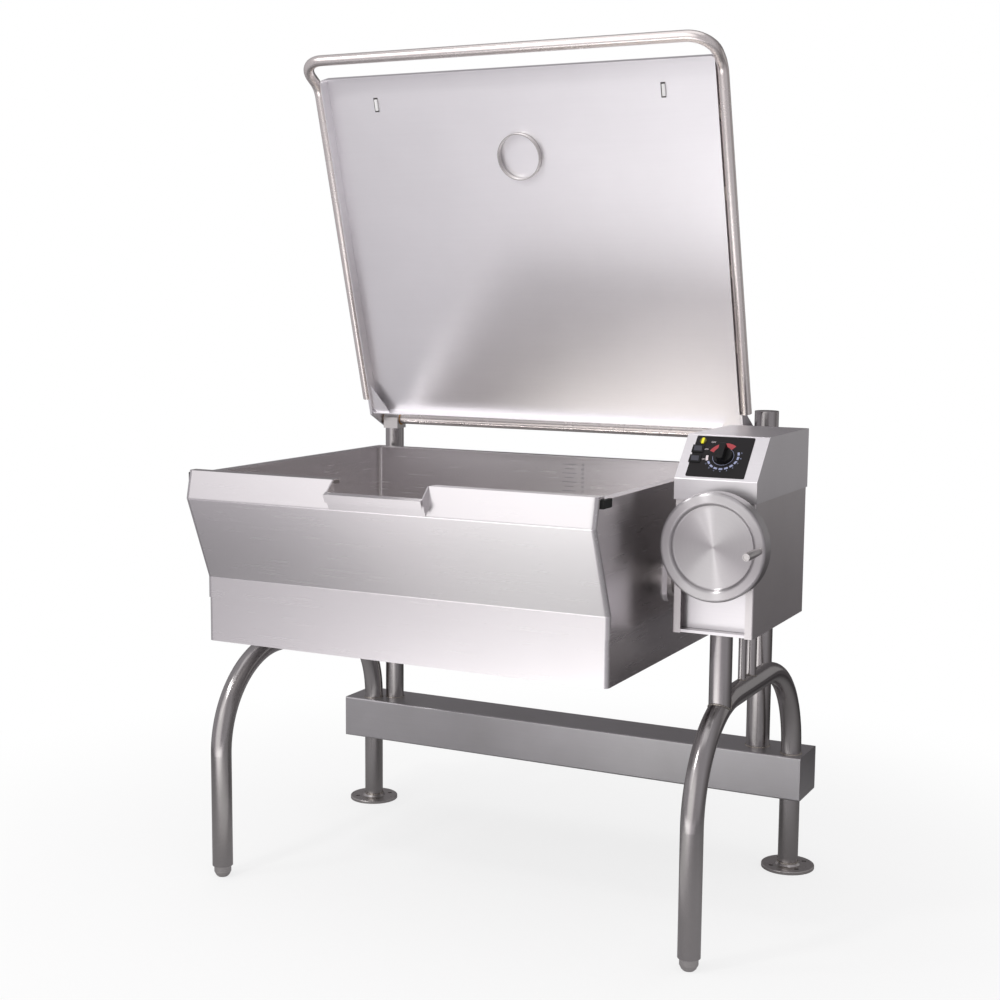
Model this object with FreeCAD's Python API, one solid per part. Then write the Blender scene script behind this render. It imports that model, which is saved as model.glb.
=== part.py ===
import FreeCAD, Part
import math
import os

os.makedirs("parts", exist_ok=True)
V = FreeCAD.Vector
X_AXIS = V(1, 0, 0)
Y_AXIS = V(0, 1, 0)
Z_AXIS = V(0, 0, 1)

# Tilting skillet on an open tubular frame, console and handwheel on its right.
# While building, x = 0 is the middle of the pan, y = 0 lies midway between the legs,
# +y runs to the back and z = 0 is the floor. Everything moves to the middle of the
# footprint when it is written out.

# General fits
running_fit = 0.05
body_gap = 0.5
sheet = 1.5

# Tilt axis and drive
tilt_y = -90.0
tilt_z = 765.0
gear_module = 4.0
gear_teeth = 40
gear_face = 20.0
gear_hub_width = 30.0
gear_hub_radius = 38.0
gear_web = 10.0
gear_rim_depth = 12.0
worm_pitch_radius = 22.0
worm_turns = 5
tooth_backlash = 0.5
tip_clearance = 1.0
shaft_radius = 10.0
shaft_shoulder_gap = 0.3
trunnion_radius = 25.0
trunnion_bore = 13.0
collar_width = 12.0
collar_radius = 38.0
end_float = 0.5
bush_wall = 4.0
key_side = 8.0
key_length = 26.0

# Pan
pan_width = 980.0
axis_to_back = 400.0
axis_to_base = 175.0
floor_depth = 752.0
casing_height = 99.0
skirt_height = 47.0
slope_run = 77.0
slope_rise = 185.0
band_lean = 14.0
band_rise = 61.0
front_rim_step = 8.0
wall = 3.0
corner_radius = 12.0
bend_radius = 5.0
side_ledge = 25.0
front_ledge = 30.0
plate_thickness = 16.0
lip_half_width = 116.0
lip_rise = 34.0
hem_depth = 16.0
hem_gap = 2.0
casing_inset = 2.0
bumper_length = 40.0
bumper_height = 18.0
bumper_thickness = 8.0
bumper_above_rim = 2.0
bumper_round = 2.0
doubler_thickness = 6.0
doubler_length = 100.0
doubler_height = 100.0
flange_radius = 42.0
flange_thickness = 6.0
flange_screw_circle = 33.0
flange_screw_radius = 4.0
flange_head_radius = 7.5

# Heating under the pan
element_radius = 5.5
element_length = 760.0
element_spacing = 70.0
element_pairs = 5
element_gap = 0.1

# Leg frame
tube_radius = 24.15
tube_wall = 3.0
leg_spread = 690.0
arch_radius = 228.0
arch_height = 522.0
left_gap = 15.3
arch_in_console = 98.0
front_leg_end = 27.0
rear_leg_end = 14.0
beam_depth = 131.0
beam_height = 106.0
beam_bottom = 177.0
beam_wall = 3.0
beam_front_margin = 16.0
beam_left_overhang = 62.0
beam_right_overhang = 32.0
foot_radius = 20.0
foot_height = 26.0
foot_stem_radius = 8.0
foot_stem_length = 62.0
insert_length = 34.0
flange_foot_radius = 63.5
flange_foot_thickness = 8.0
flange_foot_circle = 44.5
flange_foot_hole = 5.5
flange_foot_holes = 4
flange_foot_flare = 6.0
foot_round = 4.0
spigot_length = 30.0

# Lid posts and hinge
post_behind_leg = 30.0
right_post_radius = 28.6
right_post_offset = 55.0
post_above_hinge = 56.0
cap_thickness = 4.0
hinge_tube_radius = 12.7
hinge_tube_wall = 3.0
hinge_bush_wall = 3.3
hinge_block_half = 22.0
hinge_block_width = 42.0
hinge_block_skirt = 24.0
hinge_sleeve_wall = 4.0
hinge_sleeve_length = 46.0
hinge_tube_inset = 4.0

# Lid
lid_open_angle = 73.6
lid_sheet = 2.0
lid_above_rim = 20.0
lid_drop = 38.0
lid_rear_gap = 40.4
lid_front_clearance = 4.4
lid_side_clearance = 14.0
lid_flange = 30.0
lid_corner = 10.0
handle_radius = 12.7
handle_wall = 2.0
handle_below_plate = 17.0
handle_bend = 58.0
handle_reach = 54.0
handle_fall = 63.0
handle_shoulder = 18.0
arm_plate = 6.0
arm_boss = 20.0
arm_grip = 35.0
arm_edge_gap = 1.0
gusset_width = 48.0
gusset_length = 76.0
gusset_above_edge = 7.0
vent_radius = 56.0
vent_from_front = 205.0
vent_cover_lap = 7.0
vent_pin_offset = 76.0
vent_pin_radius = 4.0
vent_pin_head = 3.0
vent_knob_radius = 9.0
vent_knob_height = 16.0

# Console
console_gap = 50.0
console_width = 174.0
axis_to_console_front = 130.0
console_depth = 358.0
strip_width = 17.0
panel_recess = 25.0
panel_return = 18.0
gear_floor_gap = 1.5
base_thickness = 6.0
base_rise = 1.5
hood_bottom_above_worm = 85.0
hood_nose = 44.0
slope_depth = 80.0
slope_height = 86.0
hood_overlap = 8.0
hood_side_gap = 0.5
gear_in_console = 107.0
cheek_thickness = 12.0
cheek_width = 36.0
cheek_gap = 2.0
housing_width = 40.0
housing_wall = 14.0
housing_base_half = 46.0
housing_base_height = 12.0
front_post_y = -190.0
coped_post_radius = 23.8
rear_post_y = 10.0
rear_post_radius = 13.35
conduit_y = -48.0
conduit_radius = 8.55
conduit_wall = 1.5
overlay_thickness = 1.0
overlay_width = 126.0
overlay_length = 106.0
overlay_left = 20.0
overlay_low = 7.0
dial_x = 89.0
dial_s = 61.0
knob_radius = 20.0
knob_height = 22.0
knob_shaft_radius = 4.0
knob_hole_gap = 1.0
slope_cut = 10.0
switch_x = 30.0
switch_width = 20.0
switch_length = 14.0
switch_low_s = 52.0
switch_pitch = 26.0
switch_bezel = 2.5
switch_bezel_height = 2.0
switch_depth = 22.0
switch_wall = 1.0
switch_floor = 2.0
rocker_root = 3.0
rocker_high = 2.5
rocker_low = 1.0
rocker_middle = 0.5
rocker_pin_radius = 1.5
rocker_pin_reach = 0.6
lens_x = 36.0
lens_s = 99.0
lens_radius = 6.0
lens_rim = 1.5
lens_height = 3.0
lens_body = 8.0
thermostat_side = 52.0
thermostat_depth = 40.0
thermostat_bush = 12.0
thermostat_neck = 4.0
shaft_hole_gap = 4.0
shaft_tail = 4.0

# Handwheel
wheel_radius = 112.0
wheel_web_radius = 86.0
wheel_rise_run = 3.0
wheel_crown = 9.0
wheel_roll = 28.0
wheel_sheet = 3.0
wheel_bend = 4.0
wheel_standoff = 64.0
wheel_hub_radius = 24.0
wheel_hub_length = 30.0
wheel_hub_clearance = 4.0
crank_pin_radius = 4.0
crank_length = 76.0
crank_root_radius = 7.5
crank_belly_radius = 9.0
crank_swell = 0.5
crank_swell_run = 16.0
crank_belly_run = 18.0
crank_end_round = 1.5
crank_end_reach = 4.0
crank_head_radius = 5.5
crank_head_height = 3.0
crank_nut_radius = 6.4
crank_nut_height = 5.0
crank_washer = 2.0
crank_end_gap = 0.3

# Positions that follow from the sizes
pan_half = pan_width / 2
back_y = tilt_y + axis_to_back
crease_y = back_y - floor_depth
bend_y = crease_y - slope_run
rim_y = bend_y + band_lean
base_z = tilt_z - axis_to_base
seam_z = base_z + casing_height
crease_z = seam_z + skirt_height
bend_z = crease_z + slope_rise
rim_z = bend_z + band_rise
side_rim_z = rim_z - front_rim_step
ledge_y = rim_y + front_ledge
gear_pitch_radius = gear_module * gear_teeth / 2
gear_tip_radius = gear_pitch_radius + gear_module
worm_pitch = math.pi * gear_module
worm_z = tilt_z + gear_pitch_radius + worm_pitch_radius
left_arch_x = -pan_half - left_gap - tube_radius
console_left = pan_half + console_gap
console_right = console_left + console_width
right_arch_x = console_left + arch_in_console
gear_x = console_left + gear_in_console
front_leg_y = -leg_spread / 2
rear_leg_y = leg_spread / 2
post_y = rear_leg_y + post_behind_leg
left_post_x = left_arch_x + 2 * tube_radius
right_post_x = pan_half + right_post_offset
beam_front = rear_leg_y - tube_radius - beam_front_margin
beam_back = beam_front + beam_depth
beam_left = left_arch_x - beam_left_overhang
beam_right = right_arch_x + beam_right_overhang
console_front = tilt_y - axis_to_console_front
console_back = console_front + console_depth
base_top = tilt_z - gear_tip_radius - gear_floor_gap
base_bottom = base_top - base_thickness
console_bottom = base_bottom - base_rise
hood_bottom = worm_z + hood_bottom_above_worm
nose_z = hood_bottom + hood_nose
hood_top = nose_z + slope_height
panel_y = console_front + panel_recess
lid_inside_z = rim_z + lid_above_rim
hinge_z = lid_inside_z + lid_drop
right_post_top = hinge_z + post_above_hinge
lid_rear = post_y - lid_rear_gap
lid_front = bend_y - lid_front_clearance
lid_half = pan_half + lid_side_clearance
lid_edge_z = lid_inside_z - lid_flange
arm_x = lid_half + lid_sheet
handle_x = arm_x + handle_radius
handle_z = lid_inside_z - handle_below_plate
vent_y = lid_front + vent_from_front
lid_top = lid_inside_z + lid_sheet
cover_low = lid_top + body_gap
doubler_x = pan_half + doubler_thickness
flange_x = doubler_x + flange_thickness
bush_radius = trunnion_radius + bush_wall
left_housing_x = left_arch_x - housing_width / 2
left_end_x = -left_housing_x + end_float + collar_width
gear_left = gear_x - gear_hub_width / 2
gear_right = gear_x + gear_hub_width / 2
right_housing_x = gear_left - end_float - housing_width
right_end_x = gear_right + collar_width
post_foot_z = tilt_z - bush_radius - housing_wall - housing_base_height
lip_run = lip_rise * slope_run / slope_rise
hood_front = console_front - hood_side_gap - sheet
casing_corner = corner_radius - casing_inset / 2
wheel_y = console_front - wheel_standoff
crank_circle = (wheel_web_radius + wheel_rise_run + wheel_radius - wheel_bend) / 2
footprint_x = (beam_left - beam_wall + gear_x + crank_circle + crank_belly_radius) / 2
nodes = {}


def box(x0, x1, y0, y1, z0, z1):
    return Part.makeBox(x1 - x0, y1 - y0, z1 - z0, V(x0, y0, z0))


def rod(radius, length, start, direction):
    return Part.makeCylinder(radius, length, start, direction)


def ring(outer, inner, length, start, direction):
    return rod(outer, length, start, direction).cut(rod(inner, length, start, direction))


def fuse(shapes):
    return shapes[0].multiFuse(shapes[1:]).removeSplitter()


def mirror_x(shape):
    return shape.mirror(V(0, 0, 0), X_AXIS)


def both_sides(shape):
    return [shape, mirror_x(shape)]


def edge_chain(points, radii):
    """Straight runs through the points, joined by tangent arcs of the given radii."""
    edges = []
    start = points[0]
    for i in range(1, len(points) - 1):
        corner = points[i]
        back = (points[i - 1] - corner).normalize()
        ahead = (points[i + 1] - corner).normalize()
        radius = radii[i - 1]
        half = back.getAngle(ahead) / 2
        reach = radius / math.tan(half)
        middle = (back + ahead).normalize()
        first = corner + back * reach
        last = corner + ahead * reach
        top = corner + middle * (radius / math.sin(half) - radius)
        edges.append(Part.makeLine(start, first))
        edges.append(Part.Arc(first, top, last).toShape())
        start = last
    edges.append(Part.makeLine(start, points[-1]))
    return edges


def offset_points(points, distance):
    """The 2D run moved to its left by the distance, with mitred corners."""
    moved = []
    count = len(points)
    for i in range(count):
        before = points[max(i - 1, 0)]
        here = points[i]
        after = points[min(i + 1, count - 1)]
        first = (here - before) if i > 0 else (after - here)
        second = (after - here) if i < count - 1 else first
        first.normalize()
        second.normalize()
        left_first = V(-first.y, first.x, 0)
        left_second = V(-second.y, second.x, 0)
        mitre = (left_first + left_second).normalize()
        moved.append(here + mitre * (distance / mitre.dot(left_first)))
    return moved


def bent_sheet(points, inside_radius, thickness, place):
    """Section of a bent sheet: the run is one face, the other lies to its left."""
    flat = [V(p[0], p[1], 0) for p in points]
    other = offset_points(flat, thickness)
    radii = []
    other_radii = []
    for i in range(1, len(flat) - 1):
        turn = (flat[i] - flat[i - 1]).cross(flat[i + 1] - flat[i]).z
        radii.append(inside_radius + thickness if turn > 0 else inside_radius)
        other_radii.append(inside_radius if turn > 0 else inside_radius + thickness)
    near = edge_chain([place(p) for p in flat], radii)
    far = edge_chain([place(p) for p in other], other_radii)
    ends = [Part.makeLine(place(flat[0]), place(other[0])), Part.makeLine(place(flat[-1]), place(other[-1]))]
    return Part.Face(Part.Wire(Part.__sortEdges__(near + far + ends)))


def polygon(points):
    return Part.Face(Part.makePolygon(points + points[:1]))


def side_prism(points, x0, x1):
    """Solid with its outline in the YZ plane, between two x values."""
    return polygon([V(x0, y, z) for y, z in points]).extrude(V(x1 - x0, 0, 0))


def pipe(edges, radius):
    path = Part.Wire(edges)
    first = path.OrderedEdges[0]
    start = first.valueAt(first.FirstParameter)
    tangent = first.tangentAt(first.FirstParameter)
    if (start - path.OrderedVertexes[0].Point).Length > radius:
        start = first.valueAt(first.LastParameter)
        tangent = first.tangentAt(first.LastParameter)
    profile = Part.Wire(Part.makeCircle(radius, start, tangent))
    return path.makePipeShell([profile], True, False)


def round_edges(solid, radius, chosen):
    edges = [e for e in solid.Edges if chosen(e.BoundBox)]
    return solid.makeFillet(radius, edges)


def upright(b):
    return b.XLength < 0.01 and b.YLength < 0.01


# Pan tub

def tub_outline():
    return [
        (back_y, seam_z),
        (back_y, side_rim_z),
        (ledge_y, side_rim_z),
        (ledge_y, rim_z),
        (rim_y, rim_z),
        (bend_y, bend_z),
        (crease_y, crease_z),
        (crease_y, seam_z),
    ]


def tub_block(inset, low):
    """Outside of the tub moved inwards by the inset, as a solid that starts at a height."""
    outline = [V(y, z, 0) for y, z in tub_outline()]
    run = offset_points(outline, inset) if inset else outline
    run[0] = V(run[0].x, low, 0)
    run[-1] = V(run[-1].x, low, 0)
    half = pan_half - inset
    lines = []
    radii = [0.0, 0.0, 0.0, 0.0, bend_radius + wall - inset, bend_radius + inset]
    start = run[0]
    points = [V(-half, p.x, p.y) for p in run]
    bends = edge_chain(points[4:], radii[4:])
    for i in range(4):
        lines.append(Part.makeLine(points[i], points[i + 1]))
    close = Part.makeLine(points[-1], points[0])
    wire = Part.Wire(Part.__sortEdges__(lines + bends + [close]))
    solid = Part.Face(wire).extrude(V(2 * half, 0, 0))

    def on_corner(b):
        flat = b.XLength < 0.01 and b.ZLength > 1
        return flat and (b.YMax < ledge_y - inset - 1 or b.YMin > back_y - inset - 1)

    return round_edges(solid, corner_radius - inset, on_corner)


def pan_shell():
    outside = tub_block(0.0, seam_z)
    inside = tub_block(wall, seam_z - 1)
    mouth_half = pan_half - side_ledge
    mouth = box(-mouth_half, mouth_half, ledge_y, back_y - side_ledge, side_rim_z - 2 * wall, rim_z + 1)
    notch = box(-lip_half_width, lip_half_width, bend_y - 1, ledge_y + 1, bend_z, rim_z + 1)
    return outside.cut(inside).cut(mouth).cut(notch)


def pour_lip():
    """The sloped front runs straight on through the notch, hemmed, with a cheek at each end."""
    top = V(bend_y - lip_run, bend_z + lip_rise, 0)
    along = V(-slope_run, slope_rise, 0).normalize()
    out = V(-along.y, along.x, 0)
    start = V(bend_y, bend_z, 0)
    hem_in = hem_gap / 2
    run = [start, top, top + out * (wall + hem_gap), top + out * (wall + hem_gap) - along * hem_depth]
    back = offset_points(run, -wall)
    section = run + back[::-1]
    strip = Part.Face(Part.makePolygon([V(-lip_half_width, p.x, p.y) for p in section + section[:1]]))
    strip = strip.extrude(V(2 * lip_half_width, 0, 0))
    cheek_points = [
        (bend_y, bend_z),
        (top.x, top.y),
        (top.x + hem_in, top.y + hem_in),
        (rim_y, rim_z),
        (rim_y + wall, bend_z),
    ]
    cheek = side_prism(cheek_points, lip_half_width - wall, lip_half_width)
    return fuse([strip] + both_sides(cheek))


def plan_block(half, y0, y1, z0, z1, radius):
    return round_edges(box(-half, half, y0, y1, z0, z1), radius, upright)


def cooking_plate():
    return plan_block(pan_half - wall, crease_y + wall, back_y - wall, seam_z, seam_z + plate_thickness,
                      corner_radius - wall)


def casing_block(inset, low, high):
    edge = casing_inset + inset
    return plan_block(pan_half - edge, crease_y + edge, back_y - edge, low, high, casing_corner - inset)


def element_casing():
    return casing_block(0.0, base_z, seam_z).cut(casing_block(sheet, base_z + sheet, seam_z + 1))


def heating_elements():
    """Tubular hairpins held against the underside of the cooking plate by the pad below them."""
    z = seam_z - element_radius - element_gap
    middle = (crease_y + back_y) / 2
    half_gap = element_spacing / 4
    pins = []
    for i in range(element_pairs):
        y = middle + (i - (element_pairs - 1) / 2) * (element_spacing * 2)
        x0 = -element_length / 2
        x1 = element_length / 2
        first = Part.makeLine(V(x0, y - half_gap, z), V(x1, y - half_gap, z))
        turn = Part.Arc(V(x1, y - half_gap, z), V(x1 + half_gap, y, z), V(x1, y + half_gap, z)).toShape()
        last = Part.makeLine(V(x1, y + half_gap, z), V(x0, y + half_gap, z))
        pins.append(pipe([first, turn, last], element_radius))
    return Part.makeCompound(pins)


def insulation_pad():
    top = seam_z - 2 * (element_radius + element_gap)
    return casing_block(sheet + body_gap, base_z + sheet, top)


def rim_bumpers():
    out = pan_half + bumper_thickness
    front = rim_y + corner_radius
    top = side_rim_z + bumper_above_rim
    block = box(pan_half, out, front, front + bumper_length, top - bumper_height, top)
    block = round_edges(block, bumper_round, lambda b: b.XMin > out - 0.01)
    return Part.makeCompound(both_sides(block))


# Trunnions, seen from the pan outwards along +x; the left one is mirrored

def screw_angles():
    return [math.radians(a) for a in (45, 135, 225, 315)]


def screw_place(x, angle):
    across = flange_screw_circle * math.cos(angle)
    up = flange_screw_circle * math.sin(angle)
    return V(x, tilt_y + across, tilt_z + up)


def side_doublers():
    plate = box(pan_half, doubler_x, tilt_y - doubler_length / 2, tilt_y + doubler_length / 2,
                tilt_z - doubler_height / 2, tilt_z + doubler_height / 2)
    plate = round_edges(plate, 2 * corner_radius, lambda b: b.YLength < 0.01 and b.ZLength < 0.01)
    for angle in screw_angles():
        plate = plate.cut(rod(flange_screw_radius, doubler_thickness, screw_place(pan_half, angle), X_AXIS))
    return Part.makeCompound(both_sides(plate))


def head_cone(x, angle):
    depth = flange_head_radius - flange_screw_radius
    start = screw_place(x - depth, angle)
    return Part.makeCone(flange_screw_radius, flange_head_radius, depth, start, X_AXIS)


def trunnion(end_x, bore):
    axis_point = V(doubler_x, tilt_y, tilt_z)
    body = rod(flange_radius, flange_thickness, axis_point, X_AXIS)
    body = fuse([body, rod(trunnion_radius, end_x - doubler_x, axis_point, X_AXIS)])
    if bore:
        body = body.cut(rod(bore, end_x - doubler_x, axis_point, X_AXIS))
    for angle in screw_angles():
        hole = rod(flange_screw_radius, flange_thickness, screw_place(doubler_x, angle), X_AXIS)
        body = body.cut(hole).cut(head_cone(flange_x, angle))
    return body


def trunnion_screws():
    screws = []
    for angle in screw_angles():
        start = screw_place(pan_half, angle)
        shank = rod(flange_screw_radius, doubler_thickness + flange_thickness, start, X_AXIS)
        screw = fuse([shank, head_cone(flange_x, angle)])
        screws += both_sides(screw)
    return Part.makeCompound(screws)


def key_block():
    z = tilt_z + trunnion_radius - key_side / 2
    x = gear_x - key_length / 2
    y = tilt_y - key_side / 2
    return box(x, x + key_length, y, y + key_side, z, z + key_side)


def right_trunnion():
    return trunnion(right_end_x, trunnion_bore).cut(key_block())


def left_trunnion():
    return mirror_x(trunnion(left_end_x, 0))


# Worm and worm gear, meshed at rest: a thread crest stands in the tooth gap at the top of the gear

def tooth_points():
    """Outline of the gear, a gap centred on the first point's direction, as (radius, angle)."""
    pressure = math.radians(20)
    base = gear_pitch_radius * math.cos(pressure)
    root = gear_pitch_radius - gear_module - tip_clearance
    half_tooth = (worm_pitch / 2 - tooth_backlash) / (2 * gear_pitch_radius)
    inv_pressure = math.tan(pressure) - pressure
    radii = [base, (base + gear_pitch_radius) / 2, gear_pitch_radius, gear_pitch_radius + gear_module / 2,
             gear_tip_radius]
    flank = []
    for radius in radii:
        alpha = math.acos(min(1.0, base / radius))
        flank.append((radius, half_tooth + inv_pressure - (math.tan(alpha) - alpha)))
    step = 2 * math.pi / gear_teeth
    points = []
    for tooth in range(gear_teeth):
        centre = (tooth + 0.5) * step
        rising = [(r, centre - a) for r, a in flank]
        falling = [(r, centre + a) for r, a in reversed(flank)]
        points.append((root, centre - flank[0][1]))
        points += rising + falling
        points.append((root, centre + flank[0][1]))
    return points


def gear_section(x, twist):
    points = []
    for radius, angle in tooth_points():
        turned = angle + math.pi / 2 + twist
        points.append(V(x, tilt_y + radius * math.cos(turned), tilt_z + radius * math.sin(turned)))
    return Part.makePolygon(points + points[:1])


def worm_gear():
    """Helical teeth at the lead angle of the worm, a thinned web and a keyed hub."""
    lead_angle = math.atan(worm_pitch / (2 * math.pi * worm_pitch_radius))
    twist = gear_face / 2 * math.tan(lead_angle) / gear_pitch_radius
    x0 = gear_x - gear_face / 2
    x1 = gear_x + gear_face / 2
    teeth = Part.makeLoft([gear_section(x0, -twist), gear_section(x1, twist)], True, True)
    axis_point = V(x0, tilt_y, tilt_z)
    recess_depth = (gear_face - gear_web) / 2
    rim_inside = gear_pitch_radius - gear_module - gear_rim_depth
    for start in (x0, x1 - recess_depth):
        recess = ring(rim_inside, gear_hub_radius, recess_depth, V(start, tilt_y, tilt_z), X_AXIS)
        teeth = teeth.cut(recess)
    hub = rod(gear_hub_radius, gear_hub_width, V(gear_left, tilt_y, tilt_z), X_AXIS)
    gear = fuse([teeth, hub])
    gear = gear.cut(rod(trunnion_radius, gear_hub_width, V(gear_left, tilt_y, tilt_z), X_AXIS))
    return gear.cut(key_block())


def trunnion_collars():
    """One collar stops the left trunnion outside its housing, the other holds the gear."""
    starts = (-left_end_x, gear_right)
    return Part.makeCompound([ring(collar_radius, trunnion_radius, collar_width, V(x, tilt_y, tilt_z), X_AXIS)
                              for x in starts])


def worm_shaft():
    """Right-hand thread with straight 20 degree flanks, on a shaft that is thicker between its bearings."""
    worm_length = worm_turns * worm_pitch
    worm_front = tilt_y - (worm_turns // 2 + 0.25) * worm_pitch
    root = worm_pitch_radius - gear_module - tip_clearance
    tip = worm_pitch_radius + gear_module
    embed = 1.0
    slope = math.tan(math.radians(20))
    half_pitch_width = (worm_pitch / 2 - tooth_backlash) / 2
    half_root = half_pitch_width + (worm_pitch_radius - root + embed) * slope
    half_tip = half_pitch_width - gear_module * slope
    section = [
        V(root - embed, 0, -half_root),
        V(tip, 0, -half_tip),
        V(tip, 0, half_tip),
        V(root - embed, 0, half_root),
    ]
    helix = Part.makeHelix(worm_pitch, worm_length, worm_pitch_radius)
    profile = Part.Wire(Part.makePolygon(section + section[:1]))
    thread = Part.Wire(helix).makePipeShell([profile], True, True)
    thread.rotate(V(0, 0, 0), X_AXIS, -90)
    thread.translate(V(gear_x, worm_front, worm_z))
    front, rear = cheek_places()
    core_front = front + cheek_thickness + shaft_shoulder_gap
    core_length = rear - shaft_shoulder_gap - core_front
    core = rod(root, core_length, V(gear_x, core_front, worm_z), Y_AXIS)
    start = wheel_y + wheel_sheet + wheel_hub_clearance
    end = rear + cheek_thickness + shaft_tail
    bar = rod(shaft_radius, end - start, V(gear_x, start, worm_z), Y_AXIS)
    return core.fuse(thread).fuse(bar)


def tapered_pillow(x0, x1, foot_z, bore):
    """Bearing housing: a foot, a waist that narrows upwards and a round head with its bore."""
    head = bore + housing_wall
    top = foot_z + housing_base_height
    foot = box(x0, x1, tilt_y - housing_base_half, tilt_y + housing_base_half, foot_z, top)
    foot = round_edges(foot, 5.0, upright)
    waist = side_prism([
        (tilt_y - head, top),
        (tilt_y + head, top),
        (tilt_y + head, tilt_z),
        (tilt_y - head, tilt_z),
    ], x0, x1)
    eye = rod(head, x1 - x0, V(x0, tilt_y, tilt_z), X_AXIS)
    return fuse([foot, waist, eye]).cut(rod(bore, x1 - x0, V(x0, tilt_y, tilt_z), X_AXIS))


def trunnion_bush(x):
    return ring(bush_radius, trunnion_radius + running_fit, housing_width, V(x, tilt_y, tilt_z), X_AXIS)


# Leg frame

def arch_edges(x):
    return edge_chain([
        V(x, front_leg_y, front_leg_end),
        V(x, front_leg_y, arch_height),
        V(x, rear_leg_y, arch_height),
        V(x, rear_leg_y, rear_leg_end),
    ], [arch_radius, arch_radius])


def arch_solid(x):
    return pipe(arch_edges(x), tube_radius)


def leg_arch(x):
    return arch_solid(x).cut(pipe(arch_edges(x), tube_radius - tube_wall))


def leg_hole(x):
    return rod(tube_radius, beam_height, V(x, rear_leg_y, beam_bottom), Z_AXIS)


def rear_beam():
    top = beam_bottom + beam_height
    outer = box(beam_left, beam_right, beam_front, beam_back, beam_bottom, top)
    outer = round_edges(outer, 4.0, lambda b: b.YLength < 0.01 and b.ZLength < 0.01)
    inner = box(beam_left, beam_right, beam_front + beam_wall, beam_back - beam_wall, beam_bottom + beam_wall,
                top - beam_wall)
    return outer.cut(inner).cut(leg_hole(left_arch_x)).cut(leg_hole(right_arch_x))


def beam_end_caps():
    top = beam_bottom + beam_height
    caps = []
    for x0 in (beam_left - beam_wall, beam_right):
        cap = box(x0, x0 + beam_wall, beam_front, beam_back, beam_bottom, top)
        caps.append(round_edges(cap, 4.0, lambda b: b.YLength < 0.01 and b.ZLength < 0.01))
    return Part.makeCompound(caps)


def standing_tube(x, y, low, high, radius, thickness):
    return ring(radius, radius - thickness, high - low, V(x, y, low), Z_AXIS)


def left_lid_post():
    high = hinge_z - hinge_block_skirt
    return standing_tube(left_post_x, post_y, beam_bottom + beam_height, high, tube_radius, tube_wall)


def right_sleeve_bore(radius):
    start = V(right_post_x - right_post_radius - body_gap, post_y, hinge_z)
    return rod(radius, hinge_sleeve_length, start, X_AXIS)


def right_lid_post():
    low = beam_bottom + beam_height
    post = standing_tube(right_post_x, post_y, low, right_post_top, right_post_radius, tube_wall)
    return post.cut(right_sleeve_bore(hinge_tube_radius + hinge_bush_wall + hinge_sleeve_wall))


def post_cap():
    disc = rod(right_post_radius, cap_thickness, V(right_post_x, post_y, right_post_top), Z_AXIS)
    return round_edges(disc, 1.5, lambda b: b.ZMin > right_post_top + cap_thickness - 0.01)


def left_hinge_block():
    """Plug in the top of the left post with a round head that holds the hinge bushing."""
    half = hinge_block_width / 2
    low = hinge_z - hinge_block_skirt
    x0 = left_post_x - half
    x1 = left_post_x + half
    body = box(x0, x1, post_y - hinge_block_half, post_y + hinge_block_half, low, hinge_z)
    eye = rod(hinge_block_half, 2 * half, V(x0, post_y, hinge_z), X_AXIS)
    plug = rod(tube_radius - tube_wall, spigot_length, V(left_post_x, post_y, low - spigot_length), Z_AXIS)
    bore = rod(hinge_tube_radius + hinge_bush_wall, 2 * half, V(x0, post_y, hinge_z), X_AXIS)
    return fuse([body, eye, plug]).cut(bore)


def right_hinge_sleeve():
    outer = hinge_tube_radius + hinge_bush_wall
    return right_sleeve_bore(outer + hinge_sleeve_wall).cut(right_sleeve_bore(outer))


def hinge_bushings():
    outer = hinge_tube_radius + hinge_bush_wall
    inner = hinge_tube_radius + running_fit
    half = hinge_block_width / 2
    left = ring(outer, inner, 2 * half, V(left_post_x - half, post_y, hinge_z), X_AXIS)
    right = right_sleeve_bore(outer).cut(right_sleeve_bore(inner))
    return Part.makeCompound([left, right])


def coped_post(x, y, radius, thickness, high):
    """Tube coped onto the arch: of what the cut leaves, the part above the arch."""
    post = standing_tube(x, y, arch_height - 2 * tube_radius, high, radius, thickness)
    pieces = post.cut(arch_solid(x)).Solids
    return max(pieces, key=lambda p: p.BoundBox.ZMax)


def left_trunnion_post():
    """Coped tube with the plate that carries the bearing housing welded on top."""
    head = post_foot_z - cap_thickness
    post = coped_post(left_arch_x, tilt_y, coped_post_radius, tube_wall, head)
    plate = box(left_housing_x, left_housing_x + housing_width, tilt_y - housing_base_half,
                tilt_y + housing_base_half, head, post_foot_z)
    return fuse([post, plate])


def left_bearing_housing():
    return tapered_pillow(left_housing_x, left_housing_x + housing_width, post_foot_z, bush_radius)


def console_front_post():
    return coped_post(right_arch_x, front_post_y, coped_post_radius, tube_wall, base_bottom)


def console_rear_post():
    return coped_post(right_arch_x, rear_post_y, rear_post_radius, tube_wall, base_bottom)


def wire_conduit():
    return coped_post(right_arch_x, conduit_y, conduit_radius, conduit_wall, base_bottom)


def foot_insert(x):
    start = V(x, front_leg_y, front_leg_end)
    plug = rod(tube_radius - tube_wall, insert_length, start, Z_AXIS)
    return plug.cut(rod(foot_stem_radius + running_fit, insert_length, start, Z_AXIS))


def foot_inserts():
    return Part.makeCompound([foot_insert(left_arch_x), foot_insert(right_arch_x)])


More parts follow.
